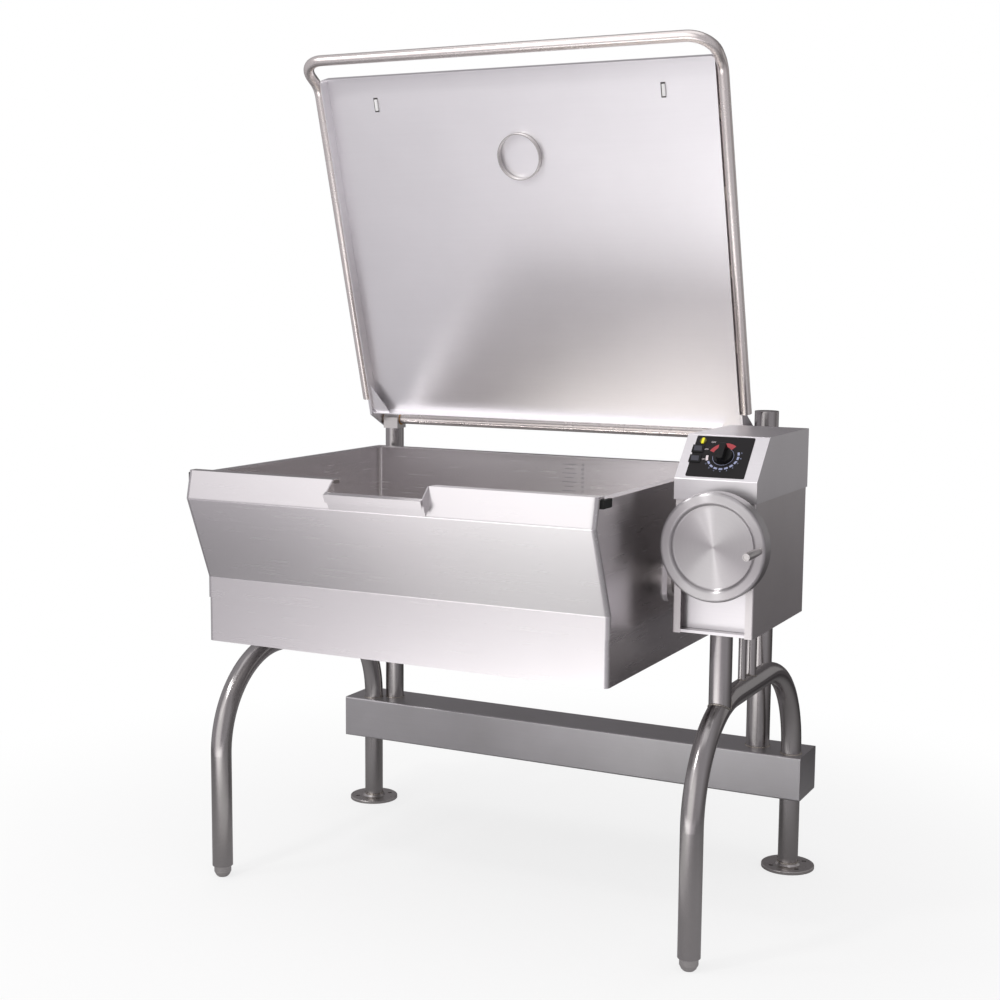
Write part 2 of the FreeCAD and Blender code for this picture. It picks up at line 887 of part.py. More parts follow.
def front_foot(x):
    """Rounded foot on a threaded stem, screwed right up to the end of the leg."""
    profile = [
        V(0, 0, 0),
        V(foot_radius - 2 * foot_round, 0, 0),
        V(foot_radius - foot_round, 0, foot_round),
        V(foot_radius, 0, 3 * foot_round),
        V(foot_radius, 0, foot_height),
        V(foot_stem_radius, 0, foot_height),
        V(foot_stem_radius, 0, foot_stem_length),
        V(0, 0, foot_stem_length),
    ]
    body = polygon(profile).revolve(V(0, 0, 0), Z_AXIS, 360)
    body.translate(V(x, front_leg_y, 0))
    return body


def rear_foot(x):
    disc = rod(flange_foot_radius, flange_foot_thickness, V(x, rear_leg_y, 0), Z_AXIS)
    disc = round_edges(disc, 2.0, lambda b: b.ZMin > flange_foot_thickness - 0.01)
    neck = Part.makeCone(tube_radius + flange_foot_flare, tube_radius, rear_leg_end - flange_foot_thickness,
                         V(x, rear_leg_y, flange_foot_thickness), Z_AXIS)
    plug = rod(tube_radius - tube_wall, spigot_length, V(x, rear_leg_y, rear_leg_end), Z_AXIS)
    foot = fuse([disc, neck, plug])
    for i in range(flange_foot_holes):
        angle = math.radians(360.0 * (i + 0.5) / flange_foot_holes)
        across = flange_foot_circle * math.cos(angle)
        ahead = flange_foot_circle * math.sin(angle)
        place = V(x + across, rear_leg_y + ahead, 0)
        foot = foot.cut(rod(flange_foot_hole, flange_foot_thickness, place, Z_AXIS))
    return foot


# Lid, built level over the pan and then swung up about the hinge

def swing(shape):
    turned = shape.copy()
    turned.rotate(V(0, post_y, hinge_z), X_AXIS, -lid_open_angle)
    return turned


def lid_tray():
    t = lid_sheet
    outer = box(-lid_half - t, lid_half + t, lid_front - t, lid_rear + t, lid_edge_z, lid_inside_z + t)
    outer = round_edges(outer, lid_corner, upright)
    outer = round_edges(outer, 1.5 * t, lambda b: b.ZMin > lid_inside_z + t - 0.01)
    inner = box(-lid_half, lid_half, lid_front, lid_rear, lid_edge_z - 1, lid_inside_z)
    inner = round_edges(inner, lid_corner - t, upright)
    tray = outer.cut(inner)
    return tray.cut(rod(vent_radius, 3 * t, V(0, lid_front + vent_from_front, lid_inside_z - t), Z_AXIS))


def handle_edges():
    shoulder_y = lid_front + handle_shoulder
    bar_y = shoulder_y - handle_reach - handle_shoulder
    bar_z = handle_z - handle_fall
    rear = lid_rear - arm_grip
    right = [V(handle_x, rear, handle_z), V(handle_x, shoulder_y, handle_z), V(handle_x, bar_y, bar_z)]
    left = [V(-p.x, p.y, p.z) for p in reversed(right)]
    return edge_chain(right + left, [handle_bend] * 4)


def lid_handle():
    return pipe(handle_edges(), handle_radius).cut(pipe(handle_edges(), handle_radius - handle_wall))


def hinge_tube_span():
    return -arm_x - arm_plate, right_post_x - right_post_radius + hinge_sleeve_length - hinge_tube_inset


def hinge_tube():
    x0, x1 = hinge_tube_span()
    inner = hinge_tube_radius - hinge_tube_wall
    return ring(hinge_tube_radius, inner, x1 - x0, V(x0, post_y, hinge_z), X_AXIS)


def hinge_arms():
    """A plate at each side: its grip lies on the lid flange, its boss is welded to the hinge tube."""
    reach = arm_boss / math.sqrt(2)
    top = lid_inside_z
    low = lid_edge_z + arm_edge_gap
    front = lid_rear - arm_grip
    outline = [
        (post_y - reach, hinge_z + reach),
        (front + arm_plate, top),
        (front, top),
        (front, low),
        (lid_rear + arm_plate, low),
        (post_y + reach, hinge_z - reach),
    ]
    blade = side_prism(outline, arm_x, arm_x + arm_plate)
    boss = rod(arm_boss, arm_plate, V(arm_x, post_y, hinge_z), X_AXIS)
    arm = fuse([blade, boss]).cut(rod(hinge_tube_radius, arm_plate, V(arm_x, post_y, hinge_z), X_AXIS))
    return Part.makeCompound(both_sides(arm))


def lid_gussets():
    """Triangular plate across each rear corner of the lid, between its flanges."""
    z = lid_edge_z + gusset_above_edge
    points = [
        V(lid_half, lid_rear - lid_corner, z),
        V(lid_half, lid_rear - gusset_length, z),
        V(lid_half - gusset_width, lid_rear, z),
        V(lid_half - lid_corner, lid_rear, z),
    ]
    plate = polygon(points).extrude(V(0, 0, lid_sheet))
    return Part.makeCompound(both_sides(plate))


def vent_pivot():
    pin = rod(vent_pin_radius, body_gap * 2 + lid_sheet, V(vent_pin_offset, vent_y, lid_top), Z_AXIS)
    head_z = cover_low + lid_sheet + body_gap
    head = rod(2 * vent_pin_radius, vent_pin_head, V(vent_pin_offset, vent_y, head_z), Z_AXIS)
    return fuse([pin, head])


def vent_cover():
    ear_radius = 3 * vent_pin_radius
    pin_place = V(vent_pin_offset, vent_y, cover_low)
    disc = rod(vent_radius + vent_cover_lap, lid_sheet, V(0, vent_y, cover_low), Z_AXIS)
    ear = rod(ear_radius, lid_sheet, pin_place, Z_AXIS)
    neck = box(0, vent_pin_offset, vent_y - ear_radius, vent_y + ear_radius, cover_low, cover_low + lid_sheet)
    cover = fuse([disc, ear, neck])
    return cover.cut(rod(vent_pin_radius + running_fit, lid_sheet, pin_place, Z_AXIS))


def vent_knob():
    x = -vent_radius + vent_knob_radius * 2
    z = cover_low + lid_sheet
    neck = rod(vent_knob_radius / 2, vent_knob_height / 2, V(x, vent_y, z), Z_AXIS)
    head = rod(vent_knob_radius, vent_knob_height / 2, V(x, vent_y, z + vent_knob_height / 2), Z_AXIS)
    head = round_edges(head, 2.5, lambda b: b.ZLength < 0.01)
    return fuse([neck, head])


# Console

def console_casing():
    """One sheet bent round the sides and back, with a narrow return at each front corner."""
    run = [
        (console_left + strip_width, console_front),
        (console_left, console_front),
        (console_left, console_back),
        (console_right, console_back),
        (console_right, console_front),
        (console_right - strip_width, console_front),
    ]
    section = bent_sheet(run[::-1], sheet, sheet, lambda p: V(p.x, p.y, console_bottom))
    high = hood_bottom + hood_overlap
    casing = section.extrude(V(0, 0, high - console_bottom))
    opening = rod(trunnion_radius + housing_wall, 3 * sheet, V(console_left - sheet, tilt_y, tilt_z), X_AXIS)
    return casing.cut(opening)


def console_panel():
    x0 = console_left + sheet + body_gap
    x1 = console_right - sheet - body_gap
    run = [(x0, panel_y + panel_return), (x0, panel_y), (x1, panel_y), (x1, panel_y + panel_return)]
    section = bent_sheet(run, sheet, sheet, lambda p: V(p.x, p.y, base_top + body_gap))
    panel = section.extrude(V(0, 0, hood_bottom - base_top - 2 * body_gap))
    start = V(gear_x, panel_y - sheet, worm_z)
    return panel.cut(rod(shaft_radius + shaft_hole_gap, 3 * sheet, start, Y_AXIS))


def hood_block(inset, low):
    half_gap = hood_side_gap + sheet
    x0 = console_left - half_gap + inset
    x1 = console_right + half_gap - inset
    outline = [V(y, z, 0) for y, z in [
        (console_back + half_gap, hood_bottom),
        (console_back + half_gap, hood_top),
        (hood_front + slope_depth, hood_top),
        (hood_front, nose_z),
        (hood_front, hood_bottom),
    ]]
    run = offset_points(outline, inset) if inset else outline
    run[0] = V(run[0].x, low, 0)
    run[-1] = V(run[-1].x, low, 0)
    solid = side_prism([(p.x, p.y) for p in run], x0, x1)
    radius = 2 * sheet - inset
    return round_edges(solid, radius, lambda b: b.XLength > 50 and b.ZMin > low + 1)


def console_hood():
    hood = hood_block(0.0, hood_bottom).cut(hood_block(sheet, hood_bottom - 1))
    hood = hood.cut(on_slope(knob_hole(), dial_x, dial_s))
    for s in switch_places():
        hood = hood.cut(on_slope(switch_hole(), switch_x, s))
    return hood.cut(on_slope(lens_hole(), lens_x, lens_s))


def on_slope(shape, x, s):
    """Moves a shape built flat at the origin onto the sloped face, s up the slope from its foot."""
    placed = shape.copy()
    angle = math.atan2(slope_height, slope_depth)
    placed.rotate(V(0, 0, 0), X_AXIS, math.degrees(angle))
    placed.translate(V(console_left + x, hood_front + s * math.cos(angle), nose_z + s * math.sin(angle)))
    return placed


def switch_places():
    return [switch_low_s, switch_low_s + switch_pitch]


def knob_hole():
    return rod(knob_shaft_radius + knob_hole_gap, 2 * slope_cut, V(0, 0, -slope_cut), Z_AXIS)


def switch_block(low, high):
    return box(-switch_width / 2, switch_width / 2, -switch_length / 2, switch_length / 2, low, high)


def switch_hole():
    return switch_block(-slope_cut, slope_cut)


def lens_hole():
    return rod(lens_radius, 2 * slope_cut, V(0, 0, -slope_cut), Z_AXIS)


def panel_overlay():
    x0 = -overlay_width / 2
    y0 = -overlay_length / 2
    sheet_piece = box(x0, x0 + overlay_width, y0, y0 + overlay_length, 0, overlay_thickness)
    sheet_piece = round_edges(sheet_piece, 3.0, upright)
    cx = overlay_left + overlay_width / 2
    cs = overlay_low + overlay_length / 2
    piece = on_slope(sheet_piece, cx, cs)
    piece = piece.cut(on_slope(knob_hole(), dial_x, dial_s))
    for s in switch_places():
        piece = piece.cut(on_slope(switch_hole(), switch_x, s))
    return piece.cut(on_slope(lens_hole(), lens_x, lens_s))


def thermostat_knob():
    low = overlay_thickness + body_gap
    skirt = rod(knob_radius, knob_height, V(0, 0, low), Z_AXIS)
    skirt = round_edges(skirt, 2.0, lambda b: b.ZMin > low + knob_height - 0.01)
    high = low + knob_height
    grip = box(-knob_radius, knob_radius, -knob_radius, knob_radius, low + knob_height / 3, high + 1)
    blade = box(-knob_radius / 3, knob_radius / 3, -knob_radius, knob_radius, low, high + 1)
    knob = skirt.cut(grip.cut(blade))
    stem = rod(knob_shaft_radius, thermostat_bush + low, V(0, 0, -thermostat_bush), Z_AXIS)
    return on_slope(fuse([knob, stem]), dial_x, dial_s)


def thermostat_body():
    """Hydraulic thermostat hung behind the sloped face by its threaded neck."""
    half = thermostat_side / 2
    low = -sheet - thermostat_neck - thermostat_depth
    block = box(-half, half, -half, half, low, low + thermostat_depth)
    neck_place = V(0, 0, -sheet - thermostat_neck)
    neck = rod(knob_shaft_radius + thermostat_neck, thermostat_neck, neck_place, Z_AXIS)
    bore_place = V(0, 0, -sheet - thermostat_bush)
    bore = rod(knob_shaft_radius + running_fit, thermostat_bush + thermostat_neck, bore_place, Z_AXIS)
    solid = fuse([block, neck]).cut(bore)
    return on_slope(solid, dial_x, dial_s)


def rocker_pin(radius, half):
    return rod(radius, 2 * half, V(-half, 0, 0), X_AXIS)


def switch_bezels():
    pieces = []
    pin_hole = rocker_pin(rocker_pin_radius + running_fit, switch_width / 2)
    frame_x = switch_width / 2 + switch_bezel
    frame_y = switch_length / 2 + switch_bezel
    inner_x = switch_width / 2 - switch_wall
    inner_y = switch_length / 2 - switch_wall
    top = overlay_thickness + switch_bezel_height
    for s in switch_places():
        rim = box(-frame_x, frame_x, -frame_y, frame_y, overlay_thickness, top)
        well = switch_block(-switch_depth, top)
        cavity = box(-inner_x, inner_x, -inner_y, inner_y, -switch_depth + switch_floor, top)
        pieces.append(on_slope(fuse([rim, well]).cut(cavity).cut(pin_hole), switch_x, s))
    return Part.makeCompound(pieces)


def switch_rocker(s):
    """Rocker with a hollow face on two stub pins, resting with its lower end pressed in."""
    half_x = switch_width / 2 - switch_wall - body_gap
    half_y = switch_length / 2 - switch_wall - 2 * body_gap
    top = overlay_thickness + switch_bezel_height
    outline = [
        V(-half_x, -half_y, -rocker_root),
        V(-half_x, half_y, -rocker_root),
        V(-half_x, half_y, top + rocker_high),
        V(-half_x, 0, top + rocker_middle),
        V(-half_x, -half_y, top - rocker_low),
    ]
    body = polygon(outline).extrude(V(2 * half_x, 0, 0))
    pins = rocker_pin(rocker_pin_radius, switch_width / 2 - switch_wall + rocker_pin_reach)
    return on_slope(fuse([body, pins]), switch_x, s)


def indicator_lens():
    stem = rod(lens_radius, overlay_thickness + sheet + lens_body, V(0, 0, -sheet - lens_body), Z_AXIS)
    head = rod(lens_radius + lens_rim, lens_height, V(0, 0, overlay_thickness), Z_AXIS)
    head = round_edges(head, lens_rim, lambda b: b.ZMin > overlay_thickness + lens_height - 0.01)
    return on_slope(fuse([stem, head]), lens_x, lens_s)


def mechanism_base():
    gap = sheet
    plate = box(console_left + gap, console_right - gap, console_front + gap, console_back - gap, base_bottom,
                base_top)
    plate = round_edges(plate, 2 * sheet, upright)
    hole_start = V(right_arch_x, conduit_y, base_bottom)
    return plate.cut(rod(conduit_radius - conduit_wall, base_thickness, hole_start, Z_AXIS))


def right_bearing_housing():
    return tapered_pillow(right_housing_x, right_housing_x + housing_width, base_top, bush_radius)


def trunnion_bushes():
    return Part.makeCompound([trunnion_bush(left_housing_x), trunnion_bush(right_housing_x)])


def cheek_places():
    front = tilt_y - gear_tip_radius - cheek_gap - cheek_thickness
    rear = tilt_y + gear_tip_radius + cheek_gap
    return front, rear


def worm_cheek(y):
    """Upright bearing block: a wide foot, a slim web and a round head for the worm shaft bushing."""
    half = cheek_width / 2
    bore = shaft_radius + bush_wall
    foot = box(gear_x - half, gear_x + half, y, y + cheek_thickness, base_top, base_top + housing_base_height)
    web = box(gear_x - half / 2, gear_x + half / 2, y, y + cheek_thickness, base_top, worm_z)
    head = rod(half, cheek_thickness, V(gear_x, y, worm_z), Y_AXIS)
    return fuse([foot, web, head]).cut(rod(bore, cheek_thickness, V(gear_x, y, worm_z), Y_AXIS))


def worm_blocks():
    return Part.makeCompound([worm_cheek(y) for y in cheek_places()])


def worm_bushings():
    outer = shaft_radius + bush_wall
    inner = shaft_radius + running_fit
    return Part.makeCompound([ring(outer, inner, cheek_thickness, V(gear_x, y, worm_z), Y_AXIS)
                              for y in cheek_places()])


# Handwheel, its web is flat, its rim a crown rolled back at the edge

def handwheel_disc():
    run = [
        (0.0, 0.0),
        (wheel_web_radius, 0.0),
        (wheel_web_radius + wheel_rise_run, -wheel_crown),
        (wheel_radius, -wheel_crown),
        (wheel_radius, wheel_roll),
    ]
    section = bent_sheet(run, wheel_bend, wheel_sheet, lambda p: V(p.x, p.y, 0))
    disc = section.revolve(V(0, 0, 0), Y_AXIS, 360)
    disc.translate(V(gear_x, wheel_y, worm_z))
    start = V(gear_x + crank_circle, wheel_y - 4 * wheel_sheet, worm_z)
    return disc.cut(rod(crank_pin_radius, 8 * wheel_sheet, start, Y_AXIS))


def wheel_hub():
    y = wheel_y + wheel_sheet
    hub = rod(wheel_hub_radius, wheel_hub_length, V(gear_x, y, worm_z), Y_AXIS)
    hub = round_edges(hub, 2.0, lambda b: b.YMin > y + wheel_hub_length - 0.01)
    bore = rod(shaft_radius, wheel_hub_length, V(gear_x, y + wheel_hub_clearance, worm_z), Y_AXIS)
    return hub.cut(bore)


def crank_pin():
    """Shoulder screw: its head sits in the end of the knob, its nut behind the rim."""
    front = wheel_y - wheel_crown
    x = gear_x + crank_circle
    pin = rod(crank_pin_radius, crank_length + wheel_sheet, V(x, front + wheel_sheet, worm_z), -Y_AXIS)
    nut = rod(crank_nut_radius, crank_nut_height, V(x, front + wheel_sheet, worm_z), Y_AXIS)
    washer = rod(crank_root_radius, crank_washer, V(x, front, worm_z), -Y_AXIS)
    head_y = front - crank_length
    head = rod(crank_head_radius, crank_head_height, V(x, head_y, worm_z), -Y_AXIS)
    return fuse([pin, nut, washer, head])


def crank_knob():
    """Turned grip, slim at the wheel and fuller towards its rounded end, free on its pin."""
    start = crank_washer + crank_end_gap
    end = crank_length - crank_end_gap
    tip = end + crank_end_reach
    tip_radius = crank_belly_radius - crank_end_round
    bore = crank_pin_radius + running_fit
    head_bore = crank_head_radius + crank_end_gap
    spline = Part.BSplineCurve()
    spline.interpolate([
        V(crank_root_radius, start, 0),
        V(crank_root_radius + crank_swell, start + crank_swell_run, 0),
        V(crank_belly_radius, end - crank_belly_run, 0),
        V(tip_radius, tip, 0),
    ])
    outline = [
        spline.toShape(),
        Part.makeLine(V(tip_radius, tip, 0), V(head_bore, tip, 0)),
        Part.makeLine(V(head_bore, tip, 0), V(head_bore, end, 0)),
        Part.makeLine(V(head_bore, end, 0), V(bore, end, 0)),
        Part.makeLine(V(bore, end, 0), V(bore, start, 0)),
        Part.makeLine(V(bore, start, 0), V(crank_root_radius, start, 0)),
    ]
    knob = Part.Face(Part.Wire(outline)).revolve(V(0, 0, 0), Y_AXIS, 360)
    knob.rotate(V(0, 0, 0), Z_AXIS, 180)
    knob.translate(V(gear_x + crank_circle, wheel_y - wheel_crown, worm_z))
    return knob


nodes["left_leg_arch"] = leg_arch(left_arch_x)
nodes["right_leg_arch"] = leg_arch(right_arch_x)
nodes["rear_beam"] = rear_beam()
nodes["beam_end_caps"] = beam_end_caps()
nodes["left_lid_post"] = left_lid_post()
nodes["right_lid_post"] = right_lid_post()
nodes["right_post_cap"] = post_cap()
nodes["left_hinge_block"] = left_hinge_block()
nodes["right_hinge_sleeve"] = right_hinge_sleeve()
nodes["hinge_bushings"] = hinge_bushings()
nodes["left_trunnion_post"] = left_trunnion_post()
nodes["left_bearing_housing"] = left_bearing_housing()
nodes["trunnion_bushes"] = trunnion_bushes()
nodes["console_front_post"] = console_front_post()
nodes["console_rear_post"] = console_rear_post()
nodes["wire_conduit"] = wire_conduit()
nodes["foot_inserts"] = foot_inserts()
nodes["rear_feet"] = Part.makeCompound([rear_foot(left_arch_x), rear_foot(right_arch_x)])
nodes["left_front_foot"] = front_foot(left_arch_x)
nodes["right_front_foot"] = front_foot(right_arch_x)
nodes["pan_shell"] = pan_shell()
nodes["pour_lip"] = pour_lip()
nodes["cooking_plate"] = cooking_plate()
nodes["element_casing"] = element_casing()
nodes["heating_elements"] = heating_elements()
nodes["insulation_pad"] = insulation_pad()
nodes["rim_bumpers"] = rim_bumpers()
nodes["side_doublers"] = side_doublers()
nodes["left_trunnion"] = left_trunnion()
nodes["right_trunnion"] = right_trunnion()
nodes["trunnion_screws"] = trunnion_screws()
nodes["worm_gear"] = worm_gear()
nodes["gear_key"] = key_block()
nodes["trunnion_collars"] = trunnion_collars()
nodes["lid_tray"] = swing(lid_tray())
nodes["lid_handle"] = swing(lid_handle())
nodes["hinge_tube"] = hinge_tube()
nodes["hinge_arms"] = swing(hinge_arms())
nodes["lid_gussets"] = swing(lid_gussets())
nodes["vent_pivot"] = swing(vent_pivot())
nodes["vent_cover"] = swing(fuse([vent_cover(), vent_knob()]))
nodes["console_casing"] = console_casing()
nodes["console_panel"] = console_panel()
nodes["console_hood"] = console_hood()
nodes["panel_overlay"] = panel_overlay()
nodes["thermostat_body"] = thermostat_body()
nodes["thermostat_knob"] = thermostat_knob()
nodes["switch_bezels"] = switch_bezels()
nodes["lower_rocker"] = switch_rocker(switch_places()[0])
nodes["upper_rocker"] = switch_rocker(switch_places()[1])
nodes["indicator_lens"] = indicator_lens()
nodes["mechanism_base"] = mechanism_base()
nodes["right_bearing_housing"] = right_bearing_housing()
nodes["worm_blocks"] = worm_blocks()
nodes["worm_bushings"] = worm_bushings()
nodes["handwheel_disc"] = handwheel_disc()
nodes["wheel_hub"] = wheel_hub()
nodes["worm_shaft"] = worm_shaft()
nodes["crank_pin"] = crank_pin()
nodes["crank_knob"] = crank_knob()

footprint_y = (nodes["pour_lip"].BoundBox.YMin + beam_back) / 2
for name, shape in nodes.items():
    shape.translate(V(-footprint_x, -footprint_y, 0))
    shape.exportStep("parts/" + name + ".step")
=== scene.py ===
import bmesh
import bpy
import math
from mathutils import Matrix, Vector


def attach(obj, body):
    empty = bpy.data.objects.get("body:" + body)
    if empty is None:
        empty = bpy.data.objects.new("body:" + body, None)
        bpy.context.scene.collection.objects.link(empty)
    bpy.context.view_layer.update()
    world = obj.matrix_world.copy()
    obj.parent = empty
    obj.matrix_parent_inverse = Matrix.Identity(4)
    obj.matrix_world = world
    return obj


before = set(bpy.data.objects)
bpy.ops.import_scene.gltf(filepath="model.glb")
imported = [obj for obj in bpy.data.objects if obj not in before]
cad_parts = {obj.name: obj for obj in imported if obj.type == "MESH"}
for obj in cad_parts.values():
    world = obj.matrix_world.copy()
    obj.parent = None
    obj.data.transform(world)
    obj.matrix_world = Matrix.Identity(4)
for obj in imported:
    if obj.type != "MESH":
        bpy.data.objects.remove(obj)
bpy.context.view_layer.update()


# Studio: a round pale floor, a white surround and soft lamps. Steel shows mostly what stands
# round it, so its reflections find a white backdrop ahead of the object, grey cards at its
# sides and darkness behind it, while the camera itself sees only white.

backdrop_way = (-0.14, -0.99, 0.2)
room_tones = ((0.02, "#4f4c4e"), (0.235, "#7d7a7c"), (0.525, "#a9a7ab"), (0.888, "#a5a2a6"),
              (0.92, "#b5b2b6"), (0.965, "#f0ecef"), (1.0, "#ffffff"))
cards_strength = 1.18
pale_strength = 0.85


def linear(colour):
    """sRGB hex to the linear RGBA that the shaders take."""
    parts = [int(colour[i:i + 2], 16) / 255 for i in (1, 3, 5)]
    return [p / 12.92 if p <= 0.04045 else ((p + 0.055) / 1.055) ** 2.4 for p in parts] + [1.0]


def add(tree, kind, values=None, links=None, **settings):
    """One node with its settings, its socket values and what feeds its sockets."""
    made = tree.nodes.new(kind)
    for key, value in settings.items():
        setattr(made, key, value)
    for socket, value in (values or {}).items():
        made.inputs[socket].default_value = value
    for socket, source in (links or {}).items():
        tree.links.new(source, made.inputs[socket])
    return made


def room_tone(tree, direction):
    """What steel finds in a direction: dark behind, grey cards beside, the white backdrop ahead."""
    ahead = add(tree, "ShaderNodeVectorMath", {1: backdrop_way}, {0: direction},
                operation="DOT_PRODUCT")
    share = add(tree, "ShaderNodeMapRange", {"From Min": -1.0, "From Max": 1.0},
                {"Value": ahead.outputs["Value"]})
    tone = add(tree, "ShaderNodeValToRGB", links={0: share.outputs[0]})
    (first_place, first_colour), *others = room_tones
    stops = tone.color_ramp.elements
    stops.remove(stops[1])
    stops[0].position, stops[0].color = first_place, linear(first_colour)
    for place, colour in others:
        stops.new(place).color = linear(colour)
    return tone.outputs[0]


def seen_straight(tree, path):
    """1 on the camera's own rays, also past something clear, and 0 on all others."""
    return add(tree, "ShaderNodeMath",
               links={0: path["Is Camera Ray"], 1: path["Is Transmission Ray"]},
               operation="MAXIMUM").outputs[0]


scene = bpy.context.scene
scene.view_settings.view_transform = "Standard"

world = bpy.data.worlds.new("studio_room")
world.use_nodes = True
world.cycles.sampling_method = "NONE"
tree = world.node_tree
tree.nodes.clear()
tone = room_tone(tree, add(tree, "ShaderNodeTexCoord").outputs["Generated"])
path = add(tree, "ShaderNodeLightPath").outputs
white = add(tree, "ShaderNodeBackground", {"Color": linear("#ffffff"), "Strength": 1.0})
pale = add(tree, "ShaderNodeBackground", {"Color": linear("#f2f2f4"), "Strength": pale_strength})
cards = add(tree, "ShaderNodeBackground", {"Strength": cards_strength}, {"Color": tone})
glossy = add(tree, "ShaderNodeMixShader",
             links={0: path["Is Glossy Ray"], 1: pale.outputs[0], 2: cards.outputs[0]})
surround = add(tree, "ShaderNodeMixShader",
               links={0: seen_straight(tree, path), 1: glossy.outputs[0], 2: white.outputs[0]})
add(tree, "ShaderNodeOutputWorld", links={"Surface": surround.outputs[0]})
scene.world = world

floor_radius = 2.4
bm = bmesh.new()
bmesh.ops.create_circle(bm, cap_ends=True, segments=96, radius=floor_radius)
floor_mesh = bpy.data.meshes.new("studio_floor")
bm.to_mesh(floor_mesh)
bm.free()
floor = bpy.data.objects.new("studio_floor", floor_mesh)
scene.collection.objects.link(floor)

# The floor glows white to the camera, over a matt paint that takes the object's shadow: the
# glow is three quarters of it near the object and all of it from 2 m out, so that the floor's
# edge can't be seen. In reflections the floor shows the room's tones instead. There it is a lit
# card in front of the object, a little brighter to the right, and dim beneath it.
floor_paint = bpy.data.materials.new("white_studio_floor")
floor_paint.use_nodes = True
tree = floor_paint.node_tree
paint = tree.nodes["Principled BSDF"]
paint.inputs["Base Color"].default_value = linear("#f4f3f2")
paint.inputs["Roughness"].default_value = 0.6
paint.inputs["Specular IOR Level"].default_value = 0.2
place = add(tree, "ShaderNodeTexCoord").outputs["Object"]
distance = add(tree, "ShaderNodeVectorMath", links={0: place}, operation="LENGTH")
fade = add(tree, "ShaderNodeMapRange",
           {"From Min": 0.9, "From Max": 2.0, "To Min": 0.75, "To Max": 1.0},
           {"Value": distance.outputs["Value"]}, interpolation_type="SMOOTHSTEP")
outward = add(tree, "ShaderNodeVectorMath", links={0: place}, operation="NORMALIZE")
path = add(tree, "ShaderNodeLightPath").outputs
straight = seen_straight(tree, path)
shown = add(tree, "ShaderNodeMath", links={0: straight, 1: path["Is Glossy Ray"]},
            operation="MAXIMUM")
share = add(tree, "ShaderNodeMath", links={0: fade.outputs[0], 1: shown.outputs[0]},
            operation="MULTIPLY")
backdrop = add(tree, "ShaderNodeMix", {7: linear("#ffffff")},
               {0: straight, 6: room_tone(tree, outward.outputs[0])}, data_type="RGBA")
sides = add(tree, "ShaderNodeSeparateXYZ", links={0: place}).outputs
rightward = add(tree, "ShaderNodeMapRange",
                {"From Min": -1.9, "From Max": -0.2, "To Min": 1.4, "To Max": 1.6},
                {"Value": sides["X"]})
beneath = add(tree, "ShaderNodeMapRange",
              {"From Min": -1.45, "From Max": -1.1, "To Min": 1.62, "To Max": 0.42},
              {"Value": sides["Y"]})
card = add(tree, "ShaderNodeMath", links={0: rightward.outputs[0], 1: beneath.outputs[0]},
           operation="MULTIPLY")
strength = add(tree, "ShaderNodeMix", {3: 1.0}, {0: straight, 2: card.outputs[0]})
glow = add(tree, "ShaderNodeEmission",
           links={"Color": backdrop.outputs[2], "Strength": strength.outputs[0]})
mixed = add(tree, "ShaderNodeMixShader",
            links={0: share.outputs[0], 1: paint.outputs[0], 2: glow.outputs[0]})
tree.links.new(mixed.outputs[0], tree.nodes["Material Output"].inputs["Surface"])
floor_paint.cycles.emission_sampling = "NONE"
floor.data.materials.append(floor_paint)


def soft_lamp(name, place, target, size, power):
    """A rectangular softbox at a place in metres, turned to its target, its power in watts."""
    data = bpy.data.lights.new(name, "AREA")
    data.shape = "RECTANGLE"
    data.size, data.size_y = size
    data.energy = power
    lamp = bpy.data.objects.new(name, data)
    lamp.location = place
    lamp.rotation_euler = (Vector(target) - Vector(place)).to_track_quat("-Z", "Y").to_euler()
    scene.collection.objects.link(lamp)


# The two small ones are aimed at the handwheel, where they draw its bright fans.
wheel_middle = (0.57, -0.23, 0.87)
soft_lamp("key_softbox", (-2.2, -3.4, 3.2), (0, 0, 0.9), (3.0, 2.6), 10)
soft_lamp("top_softbox", (0.2, -0.6, 4.2), (0, 0, 0.8), (3.4, 2.6), 14)
soft_lamp("small_softbox", (-1.0, -2.33, 3.18), wheel_middle, (0.3, 0.3), 20)
soft_lamp("left_small_softbox", (-1.72, -1.56, 2.67), wheel_middle, (0.3, 0.3), 7)
soft_lamp("rear_softbox", (2.3, 3.2, 1.35), (0.4, 0, 0.8), (2.8, 2.0), 4.6)


# Camera: where the photograph was taken from, found by fitting the object's corners and tubes
# to it. It stands 1.37 m above the floor, right of the middle, and looks a little down.

camera_place = (1.637363, -3.314585, 1.365216)
azimuth = math.radians(26.7)
pitch = math.radians(-7.135)
roll = math.radians(0.4465)
forward = Vector((-math.sin(azimuth) * math.cos(pitch), math.cos(azimuth) * math.cos(pitch),
                  math.sin(pitch)))
level = Vector((math.cos(azimuth), math.sin(azimuth), 0))
upward = level.cross(forward)
right = math.cos(roll) * level + math.sin(roll) * upward
up = -math.sin(roll) * level + math.cos(roll) * upward
lens = bpy.data.cameras.new("camera")
lens.sensor_width = 36.0
lens.lens = 58.53
camera = bpy.data.objects.new("camera", lens)
camera.matrix_world = Matrix((
    (right.x, up.x, -forward.x, camera_place[0]),
    (right.y, up.y, -forward.y, camera_place[1]),
    (right.z, up.z, -forward.z, camera_place[2]),
    (0, 0, 0, 1),
))
scene.collection.objects.link(camera)
scene.camera = camera


# Leg arches, lid posts and console posts: drawn stainless tube, belt polished round its girth.
# Posts are coped to the tube they stand on, and every joint is TIG welded with a slim rippled
# bead that keeps a straw coloured heat tint.

